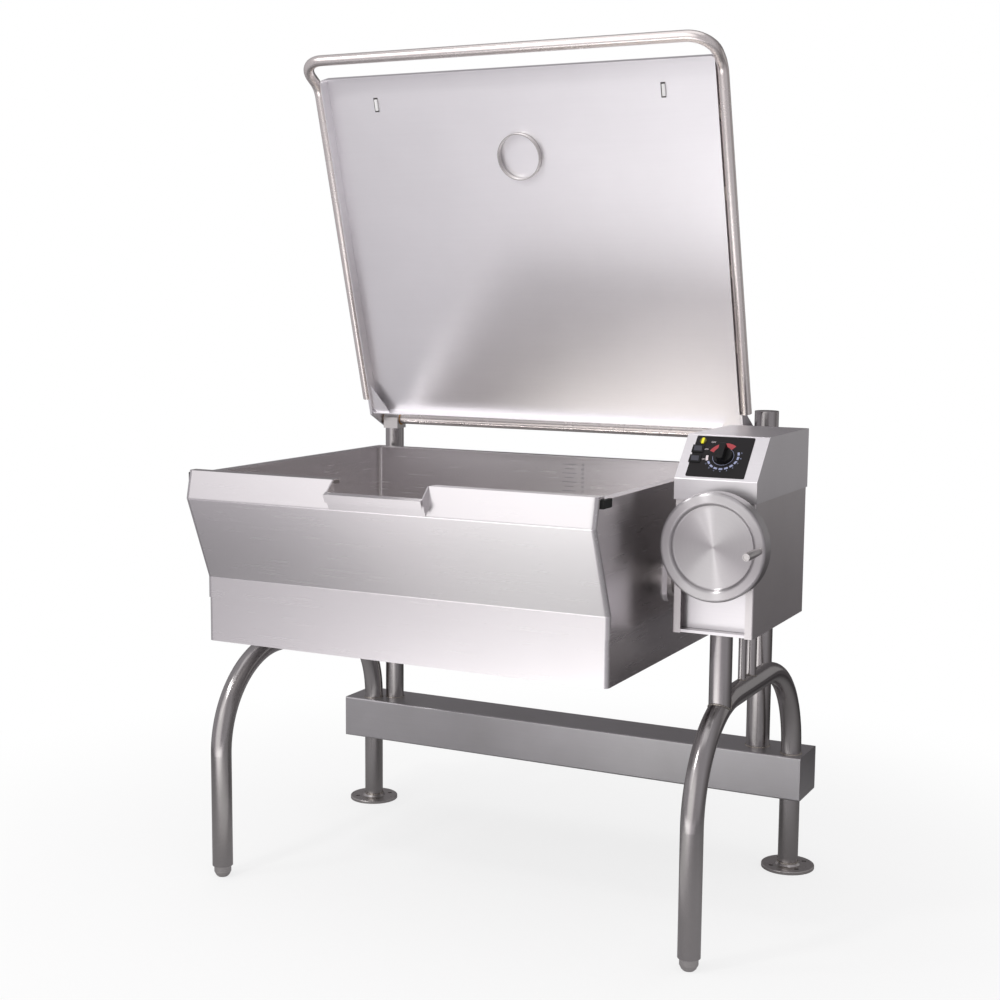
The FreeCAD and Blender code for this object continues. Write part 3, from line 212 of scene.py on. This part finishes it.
middle_x, middle_y = 80.025, -52.92
tube_radius = 24.15
left_arch_x, right_arch_x = -529.45, 638.0
arch_z, arch_bend, bend_middle_y = 522.0, 228.0, -117.0
rear_leg_y, lid_post_y = 345.0, 375.0
left_post_x, right_post_x, right_post_weld = -481.15, 545.0, 29.0
beam_bottom, beam_top, rear_foot_top = 177.0, 283.0, 14.2
front_post_y, rear_post_y, conduit_y, trunnion_post_y = -190.0, 10.0, -48.0, -90.0
coped_radius, rear_post_radius, conduit_radius = 23.8, 13.35, 8.55
console_base_z, trunnion_plate_z = 673.2, 706.0
bead_sides, bead_step, least_steps, ripple_steps, ripple_depth = 7, 1.6, 48, 4, 0.22


def at(x, y, z):
    """A point in mm, from the middle of the pan, midway between the legs and on the floor. The
    frame's own origin lies under the middle of the whole object instead."""
    return Vector(((x - middle_x) / 1000, (y - middle_y) / 1000, z / 1000))


def paint_nodes(names, material):
    """Gives CAD nodes their material, in every slot that they have."""
    for name in names:
        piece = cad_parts[name]
        if not piece.material_slots:
            piece.data.materials.append(material)
        for slot in piece.material_slots:
            slot.material = material


def steel(name, pale, deep, rough, smooth, grain, side_grain, anisotropy, wave=0.0002):
    """Stainless steel with a ground or polished grain.

    grain and side_grain are the pattern's scales per metre along x, y and z, the second for
    faces that look sideways. The real grain is near 0.2 mm wide, too fine for the picture, so
    it is drawn about 3 mm wide and very faint. wave is how far the sheet swells, in metres."""
    made = bpy.data.materials.new(name)
    made.use_nodes = True
    tree = made.node_tree
    metal = tree.nodes["Principled BSDF"]
    metal.inputs["Metallic"].default_value = 1.0
    metal.inputs["Anisotropic"].default_value = anisotropy
    coords = add(tree, "ShaderNodeTexCoord")
    facing = add(tree, "ShaderNodeSeparateXYZ", links={0: coords.outputs["Normal"]})
    across = add(tree, "ShaderNodeMath", links={0: facing.outputs["X"]}, operation="ABSOLUTE")
    sideways = add(tree, "ShaderNodeMath", {1: 0.7}, {0: across.outputs[0]},
                   operation="GREATER_THAN")
    lines = []
    for scales in (grain, side_grain):
        stretched = add(tree, "ShaderNodeMapping", {"Scale": scales},
                        {"Vector": coords.outputs["Object"]})
        lines.append(add(tree, "ShaderNodeTexNoise",
                         {"Scale": 1.0, "Detail": 5.0, "Roughness": 0.62},
                         {"Vector": stretched.outputs[0]}).outputs[0])
    streaks = add(tree, "ShaderNodeMix",
                  links={0: sideways.outputs[0], 2: lines[0], 3: lines[1]}).outputs[0]
    clouds = add(tree, "ShaderNodeTexNoise", {"Scale": 5.5, "Detail": 4.0, "Roughness": 0.55},
                 {"Vector": coords.outputs["Object"]}).outputs[0]
    both = add(tree, "ShaderNodeMath", {1: 0.5}, {0: streaks, 2: clouds},
               operation="MULTIPLY_ADD").outputs[0]
    tone = add(tree, "ShaderNodeMapRange", {"From Min": 0.5, "From Max": 1.0}, {"Value": both})
    colour = add(tree, "ShaderNodeMix", {6: linear(deep), 7: linear(pale)},
                 {0: tone.outputs[0]}, data_type="RGBA")
    tree.links.new(colour.outputs[2], metal.inputs["Base Color"])
    gloss = add(tree, "ShaderNodeMapRange",
                {"From Min": 0.3, "From Max": 0.7, "To Min": smooth, "To Max": rough},
                {"Value": streaks})
    tree.links.new(gloss.outputs[0], metal.inputs["Roughness"])
    swell = add(tree, "ShaderNodeBump", {"Strength": 0.5, "Distance": wave}, {"Height": clouds})
    ground = add(tree, "ShaderNodeBump", {"Strength": 0.1, "Distance": 0.000002},
                 {"Height": streaks, "Normal": swell.outputs[0]})
    tree.links.new(ground.outputs[0], metal.inputs["Normal"])
    # The grain runs level, so it draws its shine out upright.
    drawn_out = add(tree, "ShaderNodeVectorTransform", {0: (0.0, 0.3, 1.0)},
                    vector_type="VECTOR", convert_from="OBJECT", convert_to="WORLD")
    tree.links.new(drawn_out.outputs[0], metal.inputs["Tangent"])
    return made


def weld_ring(bm, centre, radius, bead, cope=None):
    """A bead laid round an upright tube: a small round section spun about the tube, rippled
    along the run and lifted to follow a cope. The ripples are 6.4 mm apart, about four times
    the real ones, so that they show."""
    before = set(bm.verts)
    turn = Matrix.Translation((radius, 0, 0)) @ Matrix.Rotation(math.pi / 2, 4, "X")
    section = bmesh.ops.create_circle(bm, segments=bead_sides, radius=bead,
                                      matrix=turn)["verts"]
    edges = {e for v in section for e in v.link_edges}
    steps = max(least_steps, int(2 * math.pi * radius / bead_step))
    bmesh.ops.spin(bm, geom=section + list(edges), axis=(0, 0, 1), angle=2 * math.pi,
                   steps=steps, use_merge=True)
    fresh = [v for v in bm.verts if v not in before]
    for v in fresh:
        angle = math.atan2(v.co.y, v.co.x)
        ripple = 1 + ripple_depth * abs(math.sin(angle * steps / (2 * ripple_steps)))
        reach = radius + (math.hypot(v.co.x, v.co.y) - radius) * ripple
        lift = cope(radius * math.cos(angle), radius * math.sin(angle)) if cope else 0.0
        v.co = Vector((reach * math.cos(angle), reach * math.sin(angle), v.co.z * ripple + lift))
    bmesh.ops.transform(bm, matrix=Matrix.Translation(centre), verts=fresh)


def cope_on_run(dx, dy):
    """Height of the arch's straight run above its own middle line."""
    return math.sqrt(tube_radius ** 2 - dx ** 2)


def cope_on_bend(dx, dy):
    """Height of the arch's bend under the front console post, above the straight run's middle."""
    outer = arch_bend + math.sqrt(tube_radius ** 2 - dx ** 2)
    return math.sqrt(outer ** 2 - (front_post_y + dy - bend_middle_y) ** 2) - arch_bend


def finish_mesh(name, bm, material, body, smooth=True, closed=True):
    """Makes a mesh drawn in mm a piece that rides on a body. A closed one has its doubles merged
    and its faces turned outwards. Flat print is drawn facing outwards already."""
    if closed:
        bmesh.ops.remove_doubles(bm, verts=bm.verts, dist=0.001)
        bmesh.ops.recalc_face_normals(bm, faces=bm.faces)
    for v in bm.verts:
        v.co = at(*v.co)
    for f in bm.faces:
        f.smooth = smooth
    mesh = bpy.data.meshes.new(name)
    bm.to_mesh(mesh)
    bm.free()
    piece = bpy.data.objects.new(name, mesh)
    scene.collection.objects.link(piece)
    mesh.materials.append(material)
    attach(piece, body)


# Belt polished tube gives a satin shine that turns dark towards its outline, with faint rings.
polished_tube = steel("belt_polished_stainless_tube", "#b7b3b3", "#adaaa8", 0.22, 0.18,
                      (25, 320, 320), (320, 25, 320), 0.3, wave=0.0)
paint_nodes(["left_leg_arch", "right_leg_arch", "left_trunnion_post", "console_front_post",
             "console_rear_post", "left_lid_post", "right_lid_post", "right_post_cap",
             "wire_conduit", "right_hinge_sleeve"], polished_tube)

# A TIG bead is brighter and warmer than the tube and glints along its ripples.
weld_steel = steel("tig_weld_bead", "#c9c2b6", "#8f8a86", 0.34, 0.22, (200, 200, 200),
                   (200, 200, 200), 0.0)
bm = bmesh.new()
for x in (left_arch_x, right_arch_x):
    for z in (beam_top, beam_bottom, rear_foot_top):
        weld_ring(bm, (x, rear_leg_y, z), tube_radius + 0.4, 1.7)
for x, y, radius, bead, cope in (
        (left_arch_x, trunnion_post_y, coped_radius, 1.9, cope_on_run),
        (right_arch_x, rear_post_y, rear_post_radius, 1.5, cope_on_run),
        (right_arch_x, conduit_y, conduit_radius, 1.2, cope_on_run),
        (right_arch_x, front_post_y, coped_radius, 1.9, cope_on_bend)):
    weld_ring(bm, (x, y, arch_z), radius, bead, cope)
weld_ring(bm, (left_post_x, lid_post_y, beam_top), tube_radius + 0.4, 1.7)
weld_ring(bm, (right_post_x, lid_post_y, beam_top), right_post_weld, 1.8)
weld_ring(bm, (left_arch_x, trunnion_post_y, trunnion_plate_z), coped_radius + 0.2, 1.5)
weld_ring(bm, (right_arch_x, front_post_y, console_base_z), coped_radius + 0.2, 1.5)
weld_ring(bm, (right_arch_x, rear_post_y, console_base_z), rear_post_radius + 0.25, 1.5)
finish_mesh("frame_weld_beads", bm, weld_steel, "frame")


# Rear beam: 3 mm stainless sheet folded to a closed box, ground along its length, with end
# caps seam welded flush. Both rear legs run through it and carry it by a weld above and below.

# A coarser grind than the pan's, so it gives only a broad grey sheen.
beam_sheet = steel("ground_stainless_beam", "#c3c1c3", "#bab8b9", 0.38, 0.3, (9, 330, 330),
                   (330, 9, 330), 0.45)
paint_nodes(["rear_beam", "beam_end_caps"], beam_sheet)


# Feet: turned stainless. The front ones are bullet feet on threaded stems, screwed into nylon
# inserts in the legs. The rear ones are flanges, drilled to anchor the unit to the floor.

def coated(name, pale, deep, roughness, scale, bump, metallic=0.0, specular=0.5):
    """A cast, moulded or printed surface: two close tones in a fine grain, with that grain as
    relief. scale is how many grains lie on a metre, and bump their depth in metres. The real
    grains are 0.1 to 0.5 mm wide, and are drawn 0.7 to 5 mm wide so that they show."""
    made = bpy.data.materials.new(name)
    made.use_nodes = True
    tree = made.node_tree
    skin = tree.nodes["Principled BSDF"]
    skin.inputs["Metallic"].default_value = metallic
    skin.inputs["Specular IOR Level"].default_value = specular
    place = add(tree, "ShaderNodeTexCoord").outputs["Object"]
    grit = add(tree, "ShaderNodeTexNoise", {"Scale": scale, "Detail": 6.0, "Roughness": 0.6},
               {"Vector": place}).outputs[0]
    colour = add(tree, "ShaderNodeMix", {6: linear(deep), 7: linear(pale)}, {0: grit},
                 data_type="RGBA")
    tree.links.new(colour.outputs[2], skin.inputs["Base Color"])
    gloss = add(tree, "ShaderNodeMapRange",
                {"To Min": roughness * 0.85, "To Max": roughness * 1.15}, {"Value": grit})
    tree.links.new(gloss.outputs[0], skin.inputs["Roughness"])
    relief = add(tree, "ShaderNodeBump", {"Strength": 0.5, "Distance": bump}, {"Height": grit})
    tree.links.new(relief.outputs[0], skin.inputs["Normal"])
    return made


# Turned steel shows fine rings up its length. The pins, collars and shafts are turned too.
turned = steel("turned_stainless", "#d2cfcd", "#c1bdbb", 0.34, 0.26, (30, 30, 900),
               (30, 30, 900), 0.3, wave=0.0)
paint_nodes(["rear_feet", "left_front_foot", "right_front_foot", "left_hinge_block",
             "left_trunnion", "right_trunnion", "trunnion_screws", "trunnion_collars",
             "gear_key", "worm_shaft", "wheel_hub", "crank_pin", "vent_pivot"], turned)
# Moulded nylon is a dull black with a faint mould grain. The thermostat's body is of it too.
nylon = coated("black_moulded_nylon", "#1d1d1e", "#121213", 0.5, 900, 0.00005)
paint_nodes(["foot_inserts", "thermostat_body"], nylon)


# Pan: 3 mm stainless sheet, folded to a tub with an inward ledge and a leaning front, corners
# welded and ground flush, outside brushed along its length. The pour lip is hemmed and welded
# in, rubber bumpers sit at the front corners, and level marks are etched inside the back wall.

back_wall_y = 306.93
first_mark_z, mark_pitch = 886.0, 11.0
mark_x, long_mark, short_mark, mark_line = 62.0, 40.0, 24.0, 1.2
mark_figure_x, mark_figure_size = 98.0, 8.0

# Brushing spreads each reflection upright, so the front fades softly from dark to bright.
pan_sheet = steel("brushed_stainless_pan", "#e2dfe0", "#dfdcdd", 0.275, 0.265, (7, 330, 330),
                  (330, 7, 330), 0.4)
paint_nodes(["pan_shell", "pour_lip", "element_casing", "side_doublers"], pan_sheet)
# Moulded rubber drinks the light, a flat black with hardly any shine.
rubber = coated("black_moulded_rubber", "#232322", "#171716", 0.75, 1100, 0.0001, specular=0.3)
paint_nodes(["rim_bumpers"], rubber)


def flat_words(bm, words, size, place):
    """Plain figures or letters, made a mesh and laid down by the matrix."""
    curve = bpy.data.curves.new("word_outline", "FONT")
    curve.body, curve.size, curve.align_x, curve.align_y = words, size, "CENTER", "CENTER"
    holder = bpy.data.objects.new("word_outline", curve)
    mesh = bpy.data.meshes.new_from_object(holder)
    mesh.transform(place)
    bm.from_mesh(mesh)
    bpy.data.objects.remove(holder)
    bpy.data.meshes.remove(mesh)
    bpy.data.curves.remove(curve)


bm = bmesh.new()
back_wall = Matrix.Translation((0, back_wall_y, 0)) @ Matrix.Rotation(math.pi / 2, 4, "X")
for step in range(7):
    z = first_mark_z + step * mark_pitch
    wide = long_mark if step % 2 == 0 else short_mark
    for v in bmesh.ops.create_grid(bm, x_segments=1, y_segments=1, size=0.5)["verts"]:
        v.co = back_wall @ Vector((mark_x + wide * v.co.x, z + mark_line * v.co.y, 0))
    flat_words(bm, str(10 * (step + 1)), mark_figure_size,
               back_wall @ Matrix.Translation((mark_figure_x, z, 0)))
# Etching leaves the steel matt and a little darker than the wall round it.
etched = coated("etched_level_marks", "#8e8c92", "#838188", 0.6, 900, 0.00001, metallic=0.8)
finish_mesh("pan_level_marks", bm, etched, "pan", closed=False)


# Cooking plate: thick stainless clad plate welded in as the pan's floor and ground in small
# swirls. Tubular heating elements are clamped under it, with a fibre pad below them.

# Swirl grinding has no one direction, so the plate is evenly satin and a little straw coloured.
plate_steel = steel("ground_clad_plate", "#ece8e3", "#dfdad3", 0.46, 0.38, (60, 60, 60),
                    (60, 60, 60), 0.0)
paint_nodes(["cooking_plate"], plate_steel)
# The sheaths are browned by heat, the fibre is pale, rough and without any shine.
sheath = coated("heat_darkened_element_sheath", "#6b5d52", "#3d3733", 0.5, 180, 0.0001,
                metallic=0.9)
paint_nodes(["heating_elements"], sheath)
blanket = coated("mineral_fibre_blanket", "#dcd4ba", "#b9ae8f", 0.95, 240, 0.0015,
                 specular=0.1)
paint_nodes(["insulation_pad"], blanket)


# Trunnion bearings and tilt drive: pillow blocks of sand cast iron with bronze bushes. In the
# console a bronze worm gear is keyed to the right trunnion and meshes with the wheel's worm.

# Cast iron is a dull grey with the pits of its sand mould, and machined bronze a warm shine.
cast_iron = coated("sand_cast_iron", "#6f7274", "#53565a", 0.62, 420, 0.0004, metallic=0.6)
paint_nodes(["left_bearing_housing", "right_bearing_housing", "worm_blocks"], cast_iron)
bronze = coated("machined_bronze", "#c79a5c", "#a9793c", 0.3, 260, 0.00005, metallic=1.0)
paint_nodes(["trunnion_bushes", "hinge_bushings", "worm_bushings", "worm_gear"], bronze)


# Lid: 2 mm stainless sheet with a turned-down flange all round, brushed along its width. The
# handle tube and hinge arms are welded to its sides, the gussets to its rear corners. Its own
# pieces are drawn with the lid shut, and swung open about the hinge to where the part holds it.

hinge_z, open_angle = 1040.0, 73.6
swing = (Matrix.Translation((0, lid_post_y, hinge_z))
         @ Matrix.Rotation(math.radians(-open_angle), 4, "X")
         @ Matrix.Translation((0, -lid_post_y, -hinge_z)))
lid_inner_z, lid_side_x, lid_rear_y = 1002.0, 504.0, 334.6
pad_x, pad_y, pad_round = 372.0, -454.4, 0.7
vent_y, collar_inner, collar_outer, collar_drop = -318.4, 52.5, 55.0, 15.0
gusset_seam_z, gusset_reach_x, gusset_reach_y, corner_gap = 982, 46, 74, 12
arm_seam_x, arm_seam_y, arm_seam_low, arm_seam_high = 508.5, 299.6, 975, 1000
handle_seam_x, handle_seam = 507.4, 30
handle_seam_starts, handle_seam_rows = (-420, -240, -60, 120, 260), (979, 991)
run_ripple, run_ripple_depth = 0.8, 0.2

# The lid's fine brushing blurs reflections widely, into slow clouds of grey and white.
lid_sheet = steel("brushed_stainless_lid", "#f8f6f8", "#f4f2f4", 0.39, 0.36, (6, 300, 300),
                  (300, 6, 300), 0.4)
paint_nodes(["lid_tray", "lid_gussets", "hinge_arms", "vent_cover"], lid_sheet)
# The handle is polished closer than the sheet, with a slim bright line along each run.
handle_tube = steel("polished_handle_tube", "#fbf5f1", "#f6eeea", 0.28, 0.26, (20, 20, 20),
                    (20, 20, 20), 0.2, wave=0.0)
paint_nodes(["lid_handle", "hinge_tube"], handle_tube)

# Moulded white pads soften the lid's fall on the rim. Each lies on a thin dark sheet, set out to
# its left, that is painted shade round the pad.
white_pad = coated("white_moulded_pad", "#f6f5f4", "#ebe9e8", 0.5, 900, 0.00002)
painted_shade_bed = coated("dark_painted_pad_shade", "#4a4644", "#3a3735", 0.6, 700, 0.00002)
# The first row is the thin dark sheet of painted shade, shifted 1.5 mm left so that it shows beside
# the pad; the second row is the pad.
for name, material, wide, long, thick, shift, low in (
        ("lid_pad_painted_shades", painted_shade_bed, 11.0, 34.0, 1.6, -1.5, 0.8),
        ("lid_pads", white_pad, 7.5, 27.0, 5.0, 0.6, 3.0)):
    bm = bmesh.new()
    for side in (-1, 1):
        place = (Matrix.Translation((side * pad_x + shift, pad_y, lid_inner_z - low))
                 @ Matrix.Diagonal((wide, long, thick, 1.0)))
        bmesh.ops.create_cube(bm, size=1.0, matrix=place)
    bmesh.ops.bevel(bm, geom=bm.edges[:], offset=pad_round, offset_type="OFFSET", segments=3,
                    profile=0.5, affect="EDGES", material=-1)
    bmesh.ops.transform(bm, matrix=swing, verts=bm.verts)
    finish_mesh(name, bm, material, "lid")

# The vent hole has a short turned collar, so that drips fall clear of the sheet.
bm = bmesh.new()
section = bmesh.ops.create_grid(bm, x_segments=1, y_segments=1, size=0.5)["verts"]
for v in section:
    v.co = Vector((collar_inner + (collar_outer - collar_inner) * (v.co.x + 0.5), 0,
                   collar_drop * (v.co.y - 0.5)))
bmesh.ops.spin(bm, geom=section + bm.edges[:] + bm.faces[:], axis=(0, 0, 1),
               angle=2 * math.pi, steps=96, use_merge=True)
bmesh.ops.transform(bm, matrix=swing @ Matrix.Translation((0, vent_y, lid_inner_z)),
                    verts=bm.verts)
finish_mesh("vent_drip_collar", bm, turned, "lid", smooth=False)


def weld_run(bm, start, end, bead):
    """A straight bead from one point to the other: a grid rolled up round the run, with ripples
    as far apart as on the rings."""
    start, end = Vector(start), Vector(end)
    run = end - start
    steps = max(6, int(run.length / bead_step))
    side = run.orthogonal().normalized()
    other = run.normalized().cross(side)
    for v in bmesh.ops.create_grid(bm, x_segments=steps, y_segments=bead_sides,
                                   size=0.5)["verts"]:
        share, angle = v.co.x + 0.5, 2 * math.pi * (v.co.y + 0.5)
        reach = bead * (1 + run_ripple_depth * abs(math.sin(run_ripple * share * steps)))
        v.co = start + share * run + reach * (math.cos(angle) * side + math.sin(angle) * other)


bm = bmesh.new()
for side in (-1, 1):
    edge, rear = side * (lid_side_x - 0.5), lid_rear_y - 0.5
    weld_run(bm, (edge, lid_rear_y - gusset_reach_y, gusset_seam_z),
             (edge, lid_rear_y - corner_gap, gusset_seam_z), 1.1)
    weld_run(bm, (side * (lid_side_x - gusset_reach_x), rear, gusset_seam_z),
             (side * (lid_side_x - corner_gap), rear, gusset_seam_z), 1.1)
    weld_run(bm, (side * arm_seam_x, arm_seam_y, arm_seam_low),
             (side * arm_seam_x, arm_seam_y, arm_seam_high), 1.3)
    for y in handle_seam_starts:
        for z in handle_seam_rows:
            weld_run(bm, (side * handle_seam_x, y, z),
                     (side * handle_seam_x, y + handle_seam, z), 1.4)
bmesh.ops.remove_doubles(bm, verts=bm.verts, dist=0.001)
bmesh.ops.holes_fill(bm, edges=bm.edges, sides=8)
bmesh.ops.transform(bm, matrix=swing, verts=bm.verts)
finish_mesh("lid_weld_beads", bm, weld_steel, "lid")


# Console: a box of 1.5 mm stainless sheet with a hood over it. Its front panel is set back
# behind the returns of the casing, and the whole stands on a plate welded to its two posts.

# The panel and hood are brushed bright. The casing is a little rougher and greyer, so that its
# sides come out darker than the hood's.
console_sheet = steel("brushed_stainless_console", "#e6e3e5", "#dfdcde", 0.34, 0.3,
                      (9, 330, 330), (330, 9, 330), 0.4)
paint_nodes(["console_panel", "console_hood", "mechanism_base"], console_sheet)
casing_sheet = steel("brushed_stainless_casing", "#dedada", "#d6d2d2", 0.44, 0.4,
                     (9, 330, 330), (330, 9, 330), 0.4)
paint_nodes(["console_casing"], casing_sheet)


# Control panel: a printed film on the hood's slope, with a moulded dial knob, two rocker
# switches clipped in their bezels and a lens over the heating lamp. The dial has a red arc
# over its hot half and plain numbers round the rest, all in baked ink.

slope_y, slope_z, slope_depth, slope_height = -222, 996, 80, 86
slope = (Matrix.Translation((0, slope_y, slope_z))
         @ Matrix.Rotation(math.atan2(slope_height, slope_depth), 4, "X"))
dial_x, dial_s, ink_lift = 629.0, 61.0, 1.03
# The lens's last two numbers set its painted lamp glow: full within 1.8 mm of its middle, faded to
# dark olive by 3.6 mm.
lens_x, painted_glow_half, painted_glow_edge = 576.0, 1.8, 3.6
arc_inner, arc_outer, arc_start, arc_sweep = 22.5, 35.0, 157.0, -104.0
ring_inner, ring_outer, dash_inner, dash_outer, dash_half = 22.0, 22.8, 30.0, 34.5, 7.0
figure_start, figure_pitch, figure_reach, figure_size = 212.0, 20.5, 38.5, 5.0
off_inner, off_outer, off_start, off_sweep, off_size = 32.0, 37.0, 200.0, -22.0, 5.5
off_word_x, off_word_s = dial_x - 30.0, dial_s + 36.0
switch_word_x, lower_switch_s, upper_switch_s = 588.5, 52.0, 78.0

# Printed film is a matt near-black. The knob and bezels are a deeper black with a soft mould
# shine, and the rockers a slate grey.
film = coated("black_printed_film", "#272426", "#1f1d1e", 0.6, 1400, 0.00002, specular=0.2)
paint_nodes(["panel_overlay"], film)
plastic = coated("black_moulded_abs", "#1c1b1c", "#131213", 0.5, 1200, 0.00003, specular=0.25)
paint_nodes(["thermostat_knob", "switch_bezels"], plastic)
slate = coated("slate_moulded_abs", "#403f4a", "#363540", 0.45, 1200, 0.00003, specular=0.3)
paint_nodes(["lower_rocker", "upper_rocker"], slate)

# The lens is a clear yellow. The lit lamp behind it is painted into its colour as a bright upright
# bar in its middle, fading to a dark olive at its sides.
lens_with_painted_glow = coated("yellow_lens_with_painted_glow", "#f2ea1c", "#d6c90f", 0.2, 700, 0.00003)
paint_nodes(["indicator_lens"], lens_with_painted_glow)
tree = lens_with_painted_glow.node_tree
place = add(tree, "ShaderNodeTexCoord").outputs["Object"]
sides = add(tree, "ShaderNodeSeparateXYZ", links={0: place}).outputs
beside = add(tree, "ShaderNodeMath", {1: at(lens_x, 0, 0).x}, {0: sides["X"]},
             operation="SUBTRACT")
away = add(tree, "ShaderNodeMath", links={0: beside.outputs[0]}, operation="ABSOLUTE")
# Painted glow: bright yellow down the lens's middle, fading to a dark olive towards its sides.
dim = add(tree, "ShaderNodeMapRange",
          {"From Min": painted_glow_half / 1000, "From Max": painted_glow_edge / 1000},
          {"Value": away.outputs[0]})
painted_lamp_glow = add(tree, "ShaderNodeMix", {6: linear("#fdf321"), 7: linear("#5f5a12")},
          {0: dim.outputs[0]}, data_type="RGBA")
tree.links.new(painted_lamp_glow.outputs[2], tree.nodes["Principled BSDF"].inputs["Base Color"])


def on_slope(x, s):
    """Where a word goes on the panel, s being its way up the slope."""
    return slope @ Matrix.Translation((x, s, ink_lift))


def ink_band(bm, inner, outer, start, sweep):
    """A flat printed band between two radii about the dial, its angles in degrees. It is swept
    clockwise, so that it faces out of the panel."""
    for v in bmesh.ops.create_grid(bm, x_segments=36, y_segments=1, size=0.5)["verts"]:
        angle = math.radians(start + sweep * (v.co.x + 0.5))
        reach = inner + (outer - inner) * (v.co.y + 0.5)
        v.co = slope @ Vector((dial_x + reach * math.cos(angle),
                               dial_s + reach * math.sin(angle), ink_lift))


# Baked ink lies flat and even on the film, with a faint shine of its own: a soft red, a pale
# blue and a warm white.
bm = bmesh.new()
ink_band(bm, arc_inner, arc_outer, arc_start, arc_sweep)
red_ink = coated("red_baked_ink", "#bd4a50", "#a94046", 0.5, 900, 0.00001, specular=0.3)
finish_mesh("dial_red_arc", bm, red_ink, "frame", closed=False)

bm = bmesh.new()
ink_band(bm, ring_inner, ring_outer, 360.0, -360.0)
for step in range(9):
    angle = figure_start + step * figure_pitch
    ink_band(bm, dash_inner, dash_outer, angle + dash_half, -2 * dash_half)
    flat_words(bm, str(step + 1), figure_size,
               on_slope(dial_x + figure_reach * math.cos(math.radians(angle)),
                        dial_s + figure_reach * math.sin(math.radians(angle))))
pale_ink = coated("pale_blue_baked_ink", "#aeb4d2", "#9a9fc2", 0.5, 900, 0.00001, specular=0.3)
finish_mesh("dial_figures", bm, pale_ink, "frame", closed=False)

bm = bmesh.new()
ink_band(bm, off_inner, off_outer, off_start, off_sweep)
flat_words(bm, "OFF", off_size, on_slope(off_word_x, off_word_s))
for switch_s in (lower_switch_s, upper_switch_s):
    flat_words(bm, "ON", figure_size, on_slope(switch_word_x, switch_s))
white_ink = coated("white_baked_ink", "#efe3e6", "#e0d3d6", 0.5, 900, 0.00001, specular=0.3)
finish_mesh("dial_off_mark", bm, white_ink, "frame", closed=False)


# Handwheel: a spun stainless disc with a rolled rim, on a turned hub, with a turned grip that
# runs free on the crank pin. Its polish lies in circles about the hub.

wheel_x, wheel_y, wheel_z, crank_circle = 647.0, -284.0, 867.0, 98.5


def spun_steel(name, pale, deep, centre, anisotropy):
    """Steel polished in circles about a centre, in the plane of the wheel. The rings are drawn
    about 2.4 mm apart, several times the real ones, so that they show."""
    made = bpy.data.materials.new(name)
    made.use_nodes = True
    tree = made.node_tree
    metal = tree.nodes["Principled BSDF"]
    metal.inputs["Metallic"].default_value = 1.0
    metal.inputs["Anisotropic"].default_value = anisotropy
    place = add(tree, "ShaderNodeTexCoord").outputs["Object"]
    arm = add(tree, "ShaderNodeVectorMath", {1: centre}, {0: place}, operation="SUBTRACT")
    flat = add(tree, "ShaderNodeVectorMath", {1: (1.0, 0.0, 1.0)}, {0: arm.outputs[0]},
               operation="MULTIPLY")
    radius = add(tree, "ShaderNodeVectorMath", links={0: flat.outputs[0]}, operation="LENGTH")
    circle = add(tree, "ShaderNodeCombineXYZ", links={0: radius.outputs["Value"]})
    rings = add(tree, "ShaderNodeTexNoise", {"Scale": 420.0, "Detail": 4.0, "Roughness": 0.6},
                {"Vector": circle.outputs[0]}).outputs[0]
    colour = add(tree, "ShaderNodeMix", {6: linear(deep), 7: linear(pale)}, {0: rings},
                 data_type="RGBA")
    tree.links.new(colour.outputs[2], metal.inputs["Base Color"])
    gloss = add(tree, "ShaderNodeMapRange", {"To Min": 0.27, "To Max": 0.33}, {"Value": rings})
    tree.links.new(gloss.outputs[0], metal.inputs["Roughness"])
    relief = add(tree, "ShaderNodeBump", {"Strength": 0.2, "Distance": 0.00003},
                 {"Height": rings})
    tree.links.new(relief.outputs[0], metal.inputs["Normal"])
    turned_way = add(tree, "ShaderNodeVectorTransform", links={0: flat.outputs[0]},
                     vector_type="VECTOR", convert_from="OBJECT", convert_to="WORLD")
    tree.links.new(turned_way.outputs[0], metal.inputs["Tangent"])
    return made


# Spinning leaves circles, on which each lamp draws a bright fan from the hub to the rim. The
# grip's turning is finer and shorter, so it only takes a soft glint at its side.
wheel_steel = spun_steel("spun_stainless_wheel", "#c4c1c2", "#b6b3b4",
                         at(wheel_x, wheel_y, wheel_z), 0.98)
paint_nodes(["handwheel_disc"], wheel_steel)
knob_steel = spun_steel("turned_stainless_grip", "#dcd9d8", "#c8c4c3",
                        at(wheel_x + crank_circle, wheel_y, wheel_z), 0.5)
paint_nodes(["crank_knob"], knob_steel)
